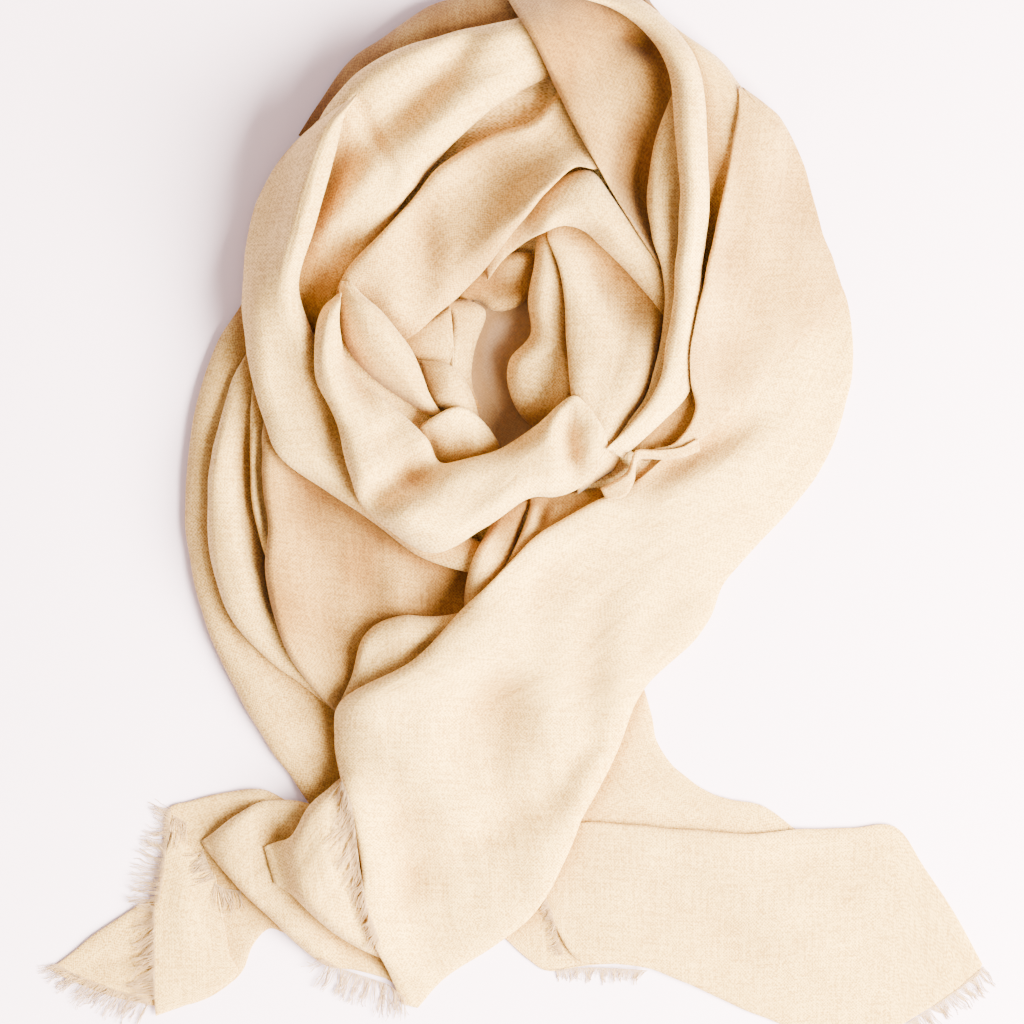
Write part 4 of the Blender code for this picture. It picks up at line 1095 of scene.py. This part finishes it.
@dataclass
class LeftSweep(Part):
    """The turns that sweep down the left of the coil, with their long pleats."""

    stretches: tuple[Stretch, ...] = (
        Stretch("back_band", Rim(16), Rim(8), sheer_shade=0.95, sections=Section.rows(
            (64, 256, 60, 240, 4.5), (44, 263, 44, 238, 10), (24, 265, 24, 236, 14.5),
            (-6, 264, -4, 232, 17.5), (-36, 256, -31, 228, 18.5), (-56, 244, -51, 220, 18.5),
            (-81, 226, -70, 205, 16.5), (-96, 206, -82, 192, 12), (-107, 189, -94, 181, 5.5)),
            creases=Crease.rows(
            (-88, 208, -61, 237, -28, 253, 1.5, 7))),
        Stretch("left_sweep_outer", Rim(8), Rim(8), sheer_shade=0.26, sections=Section.rows(
            (-125, 124, -106, 106, 5.5), (-135, 105, -116, 91, 9), (-148, 84, -126, 71, 10),
            (-158, 56, -133, 51, 10), (-163, 26, -136, 25, 10), (-164, -4, -136, -3, 10),
            (-160, -32, -131, -27, 10), (-153, -57, -120, -47, 10), (-140, -87, -104, -69, 10),
            (-124, -114, -84, -92, 9), (-107, -139, -64, -117, 6.5), (-93, -158, -49, -137, 4.5)),
            creases=Crease.rows(
            (-140, -64, -125, -96, -104, -129, 1.5, 8), (-150, 56, -156, 6, -145, -49, 1.5, 6))),
        Stretch("left_sweep_fold", Rim(5), Rim(6), sheer_shade=0.12, sections=Section.rows(
            (-132, 81, -118, 75, 4.5), (-140, 66, -122, 60, 7.5), (-145, 51, -124, 46, 9),
            (-150, 31, -125, 28, 10), (-152, 11, -125, 10, 11), (-152, -14, -124, -14, 12),
            (-148, -34, -122, -32, 12), (-140, -54, -114, -50, 11), (-122, -74, -102, -64, 7.5),
            (-106, -86, -91, -78, 5.5), (-88, -101, -80, -94, 2)), creases=Crease.rows(
            (-131, 58, -132, 16, -125, -24, -5, 5), (-144, 11, -137, -24, -125, -50, 3.5, 8),
            (-121, -29, -118, -44, -112, -55, -8.5, 4.5), (-140, 56, -146, 31, -149, 6, 1.5, 6))),
        Stretch("left_pleat", Rim(3.5), Rim(4), sheer_shade=0.15, sections=Section.rows(
            (-130, 63, -113, 56, 4.5), (-131, 46, -111, 41, 7.5), (-131, 21, -113, 18, 9),
            (-130, 3, -116, 2, 9), (-125, -16, -114, -16, 10), (-120, -31, -111, -31, 10),
            (-115, -44, -107, -44, 9), (-110, -55, -103, -54, 4.5)), creases=Crease.rows(
            (-125, 48, -126, 11, -118, -18, -3.5, 2.5))),
        Stretch("centre_panel", Rim(5), Rim(14), sheer_shade=0.86, sections=Section.rows(
            (-124, 48, -66, 36, 5.5), (-125, 31, -46, 11, 10), (-124, 11, -21, -14, 11),
            (-122, -9, -1, -31, 12), (-123, -28, 4, -49, 12), (-120, -48, -6, -69, 12),
            (-112, -71, -26, -94, 11), (-98, -90, -41, -116, 7.5), (-83, -105, -46, -139, 4.5)),
            creases=Crease.rows(
            (-56, -45, -31, -40, -10, -32, -7, 13), (-114, 16, -107, -29, -91, -76, 2.5, 10),
            (-84, -14, -71, -44, -70, -64, -2.5, 10), (-46, -29, -56, -39, -64, -50, 1.5, 8))),
    )


@dataclass
class UnderCoil(Part):
    """Two narrow folds that come out from under the coil's front."""

    stretches: tuple[Stretch, ...] = (
        Stretch("under_coil_left", Rim(5), Rim(5), sheer_shade=0.35, sections=Section.rows(
            (2, 7, 10, 7, 5), (-7, 0, 7, 0, 8), (-14, -13, 3, -12, 10), (-20, -25, -2, -25, 10),
            (-23, -37, -11, -39, 8), (-24, -47, -17, -49, 4)), creases=Crease.rows(
            (-10, -2, -15, -16, -17, -32, 2, 5))),
        Stretch("under_coil_right", Rim(3.5), Rim(5), sheer_shade=0.3, sections=Section.rows(
            (9, 9, 44, 12, 3), (8, -1, 46, 1, 7), (3, -14, 28, -11, 8), (-3, -27, 9, -27, 5)),
            creases=Crease.rows(
            (11, 4, 9, -12, 6, -24, 1.5, 4), (18, 7, 16, -1, 14, -10, -6, 2.5))),
    )


@dataclass
class TailUnderside(Part):
    """What shows of the front tail's underside, and the rolled fold beside it."""

    stretches: tuple[Stretch, ...] = (
        Stretch("tail_pocket", Rim(6), Rim(6), tucked=(True, False), sheer_shade=0.1, sections=Section.rows(
            (-156, -165, -154, -169, 2), (-149, -160, -145, -180, 8), (-139, -152, -135, -191, 10),
            (-127, -145, -122, -203, 8), (-114, -144, -108, -217, 8), (-100, -146, -94, -227, 8),
            (-86, -149, -79, -230, 6), (-71, -169, -64, -234, 4), (-61, -194, -56, -239, 3)),
            creases=Crease.rows(
            (-128, -146, -117, -164, -106, -166, -6, 7), (-148, -169, -118, -196, -81, -219, 2, 9),
            (-106, -152, -108, -169, -91, -194, 2, 12))),
        Stretch("front_tail_left", Rim(7), Rim(9), sheer_shade=0.1, sections=Section.rows(
            (-124, -168, -119, -186, 0.3), (-118, -165, -111, -191, 4), (-110, -161, -102, -200, 13),
            (-102, -148, -89, -211, 15.5), (-93, -139, -76, -219, 14.5), (-83, -132, -63, -225, 10),
            (-69, -134, -54, -232, 5.5)), creases=Crease.rows(
            (-84, -142, -91, -164, -84, -189, 3.5, 9), (-125, -178, -104, -192, -76, -212, 2.5, 6))),
        Stretch("tail_lobe", Rim(7), Rim(6), sheer_shade=0.15, sections=Section.rows(
            (-6, -44, 4, -69, 4.5), (-28, -51, -21, -79, 9), (-44, -52, -41, -89, 11),
            (-56, -52, -56, -94, 12), (-68, -56, -64, -96, 11), (-76, -65, -67, -100, 10),
            (-80, -82, -66, -106, 7.5), (-86, -96, -64, -114, 4.5)), creases=Crease.rows(
            (-71, -64, -46, -60, -21, -55, 2, 7), (-56, -72, -36, -69, -16, -56, -3.5, 8))),
    )


@dataclass
class OuterCoil(Part):
    """The broad outer turn, left and top left."""

    stretches: tuple[Stretch, ...] = (
        Stretch("crown_fold_left", Rim(10), Rim(12), sheer_shade=0.05, sections=Section.rows(
            (31, 256, 39, 228, 7), (1, 246, 18, 217, 18), (-31, 239, -6, 204, 21.5),
            (-58, 230, -28, 185, 24), (-82, 215, -44, 167, 24), (-97, 194, -55, 153, 23),
            (-104, 169, -62, 139, 19), (-112, 140, -76, 121, 14.5), (-118, 115, -88, 106, 8.5),
            (-112, 95, -92, 86, 3.5)), creases=Crease.rows(
            (-6, 261, -39, 214, -81, 176, -8.5, 8), (24, 246, -28, 198, -66, 164, 6, 13),
            (-84, 216, -73, 197, -67, 183, -4, 4), (-71, 190, -65, 180, -55, 168, -3.5, 3.5),
            (-56, 186, -82, 154, -104, 118, 7, 9), (-67, 197, -90, 167, -104, 125, -2.5, 10),
            (-74, 148, -92, 125, -104, 96, -7, 9), (-56, 171, -55, 161, -57, 151, 3.5, 5),
            (16, 215, 2, 202, -21, 187, -8.5, 6))),
        Stretch("outer_coil_left", Rim(26), Rim(11), sheer_shade=0.06, sections=Section.rows(
            (-97, 195, -77, 208, 7), (-111, 183, -84, 194, 19), (-125, 162, -90, 170, 26.5),
            (-132, 138, -99, 138, 29), (-135, 106, -106, 112, 29), (-132, 78, -96, 81, 25),
            (-126, 53, -86, 56, 21.5), (-116, 28, -75, 31, 19), (-92, 10, -63, 17, 15.5),
            (-68, -6, -48, 3, 13), (-46, -22, -33, -6, 11), (-21, -30, -17, -14, 8.5), (-1, -33, 0, -19, 5)),
            creases=Crease.rows(
            (-86, 204, -103, 156, -106, 110, 6, 9), (-105, 181, -120, 126, -122, 81, -2.5, 9),
            (-111, 44, -87, 11, -44, -18, 5, 7), (-125, 141, -128, 91, -114, 41, 1.5, 6),
            (-97, 86, -95, 61, -80, 16, -3.5, 6))),
    )


@dataclass
class OpenMiddle(Part):
    """The small folds round the middle of the coil, and the layer that lies across it."""

    stretches: tuple[Stretch, ...] = (
        Stretch("middle_floor", Rim(1.5, 0.2), Rim(1.5, 0.2),
                tucked=(False, False), sheer_shade=0.15, shaded=True, held=Held.LAID, sections=Section.rows(
            (-11, 117, 3, 117, 0.3), (-19, 106, 12, 106, 0.3), (-25, 92, 17, 92, 0.3),
            (-27, 76, 19, 76, 0.3), (-23, 60, 17, 60, 0.3), (-19, 46, 13, 46, 0.3), (-15, 35, 11, 35, 0.3),
            (-12, 24, 8, 24, 0.3))),
        Stretch("hole_wall_top", Rim(5), Rim(6), sheer_shade=0.4, sections=Section.rows(
            (-25, 113, -28, 103, 3.5), (-17, 121, -18, 106, 6), (-8, 128, -10, 101, 8.5),
            (0, 130, 0, 102, 8.5), (9, 130, 8, 107, 7), (16, 126, 14, 113, 3.5)), creases=Crease.rows(
            (-6, 125, 4, 122, 12, 131, 2.5, 6), (-17, 118, -6, 112, 10, 111, -5, 6))),
        Stretch("hole_wall_left", Rim(4), Rim(6), sheer_shade=0.35, sections=Section.rows(
            (-36, 106, -22, 107, 5), (-31, 97, -13, 100, 9.5), (-32, 83, -18, 83, 11),
            (-32, 72, -20, 70, 9.5), (-28, 60, -19, 60, 7), (-23, 50, -15, 52, 3.5)), creases=Crease.rows(
            (-28, 91, -30, 76, -25, 56, 1.5, 5))),
        Stretch("hole_step", Rim(4), Rim(4), sheer_shade=0.3, sections=Section.rows(
            (-58, 86, -31, 103, 3), (-50, 80, -29, 86, 4), (-45, 74, -29, 70, 3)), creases=Crease.rows(
            (-47, 76, -36, 72, -30, 66, 1.5, 3))),
        Stretch("hole_wall_front", Rim(7), Rim(4), sheer_shade=0.45, sections=Section.rows(
            (-47, 76, -43, 63, 6), (-33, 74, -38, 53, 11), (-25, 68, -32, 50, 12), (-19, 57, -26, 43, 11),
            (-15, 45, -18, 36, 8.5), (-6, 32, -11, 26, 5)), creases=Crease.rows(
            (-21, 58, -14, 46, -4, 36, -3.5, 6), (-36, 70, -30, 58, -21, 46, 1.5, 5))),
    )


@dataclass
class InnerCoil(Part):
    """The inner turns of the coil."""

    stretches: tuple[Stretch, ...] = (
        Stretch("hole_roll_right", Rim(10), Rim(6), sheer_shade=0.25, sections=Section.rows(
            (14, 152, 24, 148, 6), (12, 134, 23, 130, 14), (11, 122, 27, 113, 20.5), (8, 106, 29, 96, 24),
            (9, 89, 29, 81, 24), (-1, 77, 31, 70, 24), (-2, 64, 32, 58, 21.5), (3, 51, 30, 50, 14.5),
            (11, 42, 24, 43, 5)), creases=Crease.rows(
            (13, 131, 14, 106, 4, 74, 2, 6), (22, 91, 20, 68, 12, 50, -3.5, 7), (0, 81, 2, 70, 4, 56, 2, 5))),
        Stretch("inner_coil_right", Rim(14), Rim(9), sheer_shade=0.25, sections=Section.rows(
            (48, 158, 20, 150, 3.5), (60, 143, 18, 138, 7), (73, 123, 22, 125, 12),
            (76, 106, 26, 106, 15.5), (74, 86, 27, 83, 19), (70, 67, 29, 62, 23), (63, 51, 32, 42, 24),
            (57, 36, 33, 25, 22), (51, 21, 33, 9, 12)), creases=Crease.rows(
            (32, 135, 55, 110, 74, 84, -12, 13), (18, 133, 38, 106, 40, 64, 5, 8),
            (27, 58, 32, 40, 37, 23, -6, 5), (69, 106, 68, 81, 53, 41, 2, 7),
            (44, 66, 46, 46, 44, 28, 2.5, 7))),
        Stretch("inner_arch", Rim(9), Rim(10), sheer_shade=0.25, sections=Section.rows(
            (86, 96, 78, 95, 3), (77, 123, 58, 119, 12), (62, 141, 44, 133, 19), (50, 158, 35, 140, 23),
            (39, 170, 25, 142, 24), (24, 167, 15, 139, 20.5), (9, 158, 6, 134, 14.5),
            (-6, 143, -5, 125, 9.5), (-17, 131, -12, 116, 5)), creases=Crease.rows(
            (4, 140, 32, 166, 64, 137, 2.5, 9), (-4, 125, 5, 136, 16, 137, -6, 7),
            (18, 140, 34, 140, 50, 125, -6, 6), (36, 167, 54, 154, 69, 131, 2, 6))),
        Stretch("inner_panel", Rim(7), Rim(11), sheer_shade=0.52, sections=Section.rows(
            (39, 213, 54, 181, 6), (24, 210, 43, 171, 12), (9, 195, 31, 171, 14.5),
            (-11, 188, 18, 159, 15.5), (-36, 172, 1, 140, 17), (-53, 152, -12, 123, 17),
            (-70, 134, -25, 109, 15.5), (-81, 122, -37, 99, 13), (-87, 111, -48, 89, 9.5),
            (-88, 101, -56, 85, 5)), creases=Crease.rows(
            (-54, 176, -44, 136, -50, 81, -8.5, 10), (-74, 138, -62, 114, -54, 86, 5, 9),
            (40, 181, 4, 142, -36, 105, 6, 9), (24, 196, -16, 161, -41, 140, -5, 14),
            (18, 207, 9, 194, -10, 190, 5, 6), (-6, 181, -26, 171, -41, 156, 2, 9))),
        Stretch("inner_wall_left", Rim(9), Rim(8), sheer_shade=0.2, sections=Section.rows(
            (-85, 115, -80, 115, 3), (-86, 110, -74, 108, 9), (-85, 105, -65, 100, 14.5),
            (-85, 93, -56, 89, 18), (-82, 81, -49, 80, 18), (-72, 69, -45, 69, 15.5),
            (-57, 58, -40, 57, 11), (-41, 48, -33, 47, 5)), creases=Crease.rows(
            (-82, 108, -64, 81, -40, 53, 5, 7), (-84, 91, -79, 70, -58, 55, -11, 6),
            (-77, 64, -58, 54, -42, 44, -7, 7), (-58, 106, -46, 81, -36, 56, 2, 5),
            (-51, 74, -44, 64, -36, 52, -3.5, 4))),
        Stretch("box_pleat", Rim(1.5, 0.8), Rim(3), tucked=(False, True), crown=0.02, sections=Section.rows(
            (-47, 42, -40, 22.5, 5), (-40, 47, -35, 23, 7), (-31, 52, -29, 22, 8), (-23, 52, -22, 24, 8),
            (-14, 45, -13, 27, 6), (-6, 34, -6, 30, 3)), creases=Crease.rows(
            (-46, 41, -40, 31, -38, 22, -2.5, 2.5), (-42, 44, -34, 46, -24, 49, 2, 4),
            (-30, 41, -25, 36, -21, 28, -2, 5))),
        Stretch("inner_coil_front", Rim(16), Rim(14), sheer_shade=0.08, sections=Section.rows(
            (-88, 108, -85, 109, 2), (-95, 101, -85, 104, 8.5), (-98, 86, -85, 90, 14.5),
            (-97, 64, -80, 70, 18), (-87, 43, -60, 53, 21.5), (-81, 18, -43, 37, 24),
            (-71, -1, -36, 25, 26.5), (-41, -20, -23, 27, 27.5), (-15, -9, -6, 32, 27.5),
            (7, 6, 11, 43, 26.5), (21, 7.5, 23, 53, 23), (30, 10, 31, 58, 12), (38, 15, 37, 54, 5.5),
            (44, 22, 43, 46, 3.2), (48, 30, 47, 39, 1.2)), creases=Crease.rows(
            (-80, 2, -59, 13, -31, 30, -17, 8), (-94, 106, -92, 76, -81, 41, 3.5, 6),
            (-83, 91, -80, 68, -60, 44, -9.5, 5), (-46, -4, -6, 6, 34, 21, 3.5, 14),
            (-81, 46, -75, 21, -68, 6, 3.5, 8), (-70, 46, -60, 33, -46, 21, -5, 9),
            (-70, -8, -46, 0, -13, 23, 5, 9), (30, 60, 28, 36, 35, 14, -11, 6),
            (46, 66, 46, 41, 41, 17, 2, 7))),
    )


@dataclass
class RightCoil(Part):
    """The narrow turns and the top panel at the right of the coil."""

    stretches: tuple[Stretch, ...] = (
        Stretch("right_coil_valley", Rim(6), Rim(9), sheer_shade=0.2, sections=Section.rows(
            (57, 262, 67, 255, 6), (72, 249, 86, 240, 13), (82, 236, 104, 227, 18), (88, 219, 116, 212, 19),
            (92, 196, 134, 196, 18), (93, 169, 130, 166, 16), (93, 141, 124, 140, 14),
            (89, 114, 116, 111, 13), (86, 89, 108, 85, 12), (80, 64, 100, 59, 9), (72, 46, 92, 40, 7),
            (59, 31, 67, 25, 3)), creases=Crease.rows(
            (100, 197, 102, 158, 95, 116, -3.5, 6), (80, 236, 94, 225, 102, 206, 2, 6))),
        Stretch("top_right_panel", Rim(4, 1.2), Rim(8), sheer_shade=0.88, sections=Section.rows(
            (-6, 263, 69, 257, 2), (1, 250, 80, 239, 7), (11, 233, 87, 214, 12), (22, 210, 88, 191, 12),
            (34, 187, 86, 169, 10), (47, 164, 84, 149, 8), (61, 142, 83, 134, 6), (73, 123, 81, 120, 3)),
            creases=Crease.rows(
            (78, 208, 58, 174, 72, 127, -12, 12), (49, 242, 62, 235, 74, 231, -7, 6),
            (5, 246, 25, 214, 47, 176, 2, 6), (24, 241, 49, 226, 64, 216, 1.5, 14))),
        Stretch("right_coil_inner", Rim(6), Rim(6), sheer_shade=0.25, sections=Section.rows(
            (80, 209, 92, 211, 4), (72, 187, 92, 189, 9), (68, 167, 93, 167, 11), (67, 152, 93, 152, 12),
            (70, 136, 92, 136, 11), (75, 120, 91, 119, 10), (76, 101, 89, 99, 9), (73, 79, 86, 76, 8),
            (67, 59, 78, 54, 7), (58, 45, 67, 39, 6), (48, 31, 55, 27, 3)), creases=Crease.rows(
            (78, 192, 76, 176, 80, 160, -2.5, 6), (72, 191, 69, 161, 75, 136, 1.5, 5))),
        Stretch("right_coil_mid", Rim(7), Rim(8), sections=Section.rows(
            (24, 259, 44, 265, 4), (49, 252, 66, 256, 10), (67, 239, 85, 237, 14), (78, 220, 94, 219, 16),
            (81, 191, 97, 191, 16), (83, 156, 98, 156, 16), (81, 121, 95, 121, 15), (78, 91, 92, 91, 13),
            (72, 62, 89, 62, 10), (60, 45, 74, 44, 8), (47, 31, 59, 30, 3)), creases=Crease.rows(
            (90, 204, 91, 156, 89, 106, 1.5, 6), (44, 251, 69, 241, 89, 216, 2, 6))),
    )


@dataclass
class FrontBand(Part):
    """The broad band that comes over the right of the coil and crosses the front."""

    stretches: tuple[Stretch, ...] = (
        Stretch("front_tail", Rim(18), Rim(18), tucked=(True, False), sections=Section.rows(
            (130, 142, 157, 130, 0.8), (125, 117, 168.5, 106, 3), (112, 84, 171, 75, 6),
            (97, 56, 165, 44, 8), (82, 34, 153, 19, 10), (62, 16, 137, -2, 12), (37, 3, 120, -20, 13),
            (15, -10, 106, -36, 14), (-6, -30, 100, -52, 15), (-29, -53, 89, -67, 16),
            (-50, -74, 72, -82, 17), (-84, -93, 61, -97, 17), (-89, -114, 54, -117, 17),
            (-86, -133, 44, -138, 16), (-79, -154, 34, -157, 14), (-75, -177, 24, -180, 12),
            (-74, -197, 10, -202, 10), (-68, -218, -9, -218, 8), (-60, -235, -34, -234, 5),
            (-55, -247, -47, -249, 2)), creases=Crease.rows(
            (55, -24, 39, -74, 45, -124, -5.5, 11), (-4, -59, -11, -112, 4, -174, -8.5, 17),
            (39, -116, 9, -146, -24, -169, -6, 14), (-44, -169, -52, -186, -67, -202, -4, 10),
            (-38, -173, -16, -165, 4, -158, -2.5, 8), (24, -139, 35, -122, 51, -113, -3.5, 7),
            (57, 11, 89, 28, 138, 58, -9.5, 8), (64, 6, 89, 18, 126, 30, 2.5, 9),
            (54, -16, 94, 4, 140, 41, 3.5, 16), (44, -114, 39, -134, 24, -169, 2.5, 8),
            (-56, -94, -41, -134, -31, -194, 2.5, 14), (4, -64, 16, -94, 24, -124, 3.5, 13),
            (94, -24, 74, -49, 49, -64, -2, 14), (-78, -144, -70, -174, -61, -204, 2.5, 7))),
        Stretch("outer_right_panel", Rim(2.5, 0.8), Rim(20, 0.6), sheer_shade=0.55, sections=Section.rows(
            (114, 213, 116, 212, 1.5), (113, 203, 127, 204, 2.5), (111.5, 192, 136, 195, 3),
            (108, 173, 147, 172, 3.5), (102, 146, 155, 143, 4), (97, 121, 162, 124, 4.2),
            (91, 96, 164, 103, 3.5), (88, 72, 140, 84, 3), (91, 50, 105, 46, 3.5), (82, 35, 89, 32, 4),
            (70, 31, 72, 26, 3)), creases=Crease.rows(
            (116, 191, 112, 141, 115, 88, -2.5, 13), (105, 167, 100, 116, 97, 64, 2.5, 8),
            (129, 166, 139, 121, 144, 81, 2, 16), (104, 56, 115, 76, 124, 96, -1.5, 9))),
        Stretch("wavy_edge", Rim(2, 2), Rim(2, 1.5), sheer_shade=0.4, sections=Section.rows(
            (93, 36, 94, 30, 1.5), (84, 32, 85, 27, 2.5), (74, 31, 75, 26, 3), (62, 31, 64, 26, 4),
            (59, 25, 62, 21, 4.5), (57, 20, 61, 15, 4.5), (50, 15, 56, 8, 4), (44, 12, 47, 6, 1.5)),
            creases=Crease.rows(
            (64, 16, 54, 6, 39, 4, 1.5, 3))),
    )
    fringes: tuple[Fringe, ...] = (
        Fringe("fringe_front_side", "front_tail", seed=7, edges=(
            ((-87, -145, -85, -134), (-89, -160, -80, -145), (-88, -176, -78, -160), (-82, -190, -76, -178),
            (-76, -204, -72, -198), (-70, -222, -66, -214)),)),
        Fringe("fringe_front_end", "front_tail", seed=8, edges=(
            ((-106, -231, -94, -224), (-92, -243, -86, -229), (-78, -247, -74, -233),
            (-64, -254, -62, -237), (-52, -255, -54, -243)),)),
    )


# ---------------------------------------------------------------------------------- the studio
@dataclass
class Studio:
    """A plain pale floor, a camera straight above, and soft light from the lower right."""

    view_width: float = 0.512
    camera_height: float = 5.0
    camera_centre: tuple[float, float] = (0.0, 0.0)
    sensor: float = 36.0
    focus_level: float = 0.02
    floor_size: float = 12.0
    floor_colour: tuple[float, float, float] = (0.80, 0.72, 1.0)
    key_power: float = 840.0
    key_size: float = 1.6
    key_place: tuple[float, float, float] = (1.45, -0.68, 1.40)
    key_colour: tuple[float, float, float] = (1.0, 0.87, 0.64)
    world_colour: tuple[float, float, float] = (1.0, 0.78, 0.58)
    world_strength: float = 1.38

    def camera(self) -> None:
        """Hang the camera straight above the shawl, looking down, +Y up in its view."""
        data = bpy.data.cameras.new("overhead")
        data.sensor_width = self.sensor
        data.lens = self.sensor * (self.camera_height - self.focus_level) / self.view_width
        data.clip_end = 50.0
        camera = bpy.data.objects.new("overhead", data)
        camera.location = (*self.camera_centre, self.camera_height)
        bpy.context.collection.objects.link(camera)
        bpy.context.scene.camera = camera

    def floor(self) -> None:
        """Lay the table top."""
        half = self.floor_size / 2
        mesh = bpy.data.meshes.new("table_top")
        mesh.from_pydata([(-half, -half, 0), (half, -half, 0), (half, half, 0), (-half, half, 0)], [],
                         [(0, 1, 2, 3)])
        mesh.materials.append(PlainFinish("white_table", self.floor_colour, 0.7).material())
        top = bpy.data.objects.new("table_top", mesh)
        bpy.context.collection.objects.link(top)

    def light(self) -> None:
        """Hang one large soft lamp, and fill the rest with even pale light."""
        data = bpy.data.lights.new("window", "AREA")
        data.energy = self.key_power
        data.size = self.key_size
        data.color = self.key_colour
        lamp = bpy.data.objects.new("window", data)
        lamp.location = self.key_place
        lamp.rotation_euler = (-Vector(self.key_place)).to_track_quat("-Z", "Y").to_euler()
        bpy.context.collection.objects.link(lamp)
        world = bpy.data.worlds.new("soft_room")
        world.use_nodes = True
        back = world.node_tree.nodes["Background"]
        back.inputs["Color"].default_value = (*self.world_colour, 1)
        back.inputs["Strength"].default_value = self.world_strength
        bpy.context.scene.world = world

    def build(self) -> None:
        """Set up the whole studio."""
        self.camera()
        self.floor()
        self.light()


def main() -> None:
    """Lay the shawl from its lowest layer to its topmost, and set up the studio."""
    logging.basicConfig(level=logging.INFO, format="%(message)s")
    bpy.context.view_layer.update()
    # painted shade: a darker, greyer copy of the gauze for the cloth that lies in the shade in the middle
    shade = GauzeFinish(name="shaded_gauze", light=(0.56, 0.42, 0.34), deep=(0.42, 0.31, 0.25), slub=0.2)
    table = ClothTable(GauzeFinish(), shade)
    Studio().build()
    HiddenLayers().build(table)
    # painted shade: the frayed threads get a darker, greyer copy of the gauze's colours
    yarn = GauzeFinish(name="frayed_yarn", light=(0.62, 0.44, 0.25), deep=(0.45, 0.30, 0.16)).material()
    for part in (RightEnd(), LeftEnd(), LeftSweep(), TailUnderside(), OuterCoil(), UnderCoil(), OpenMiddle(),
                 InnerCoil(), RightCoil(), FrontBand()):
        part.build(table, yarn)
    table.paint_shade()


if __name__ == "__main__":
    main()
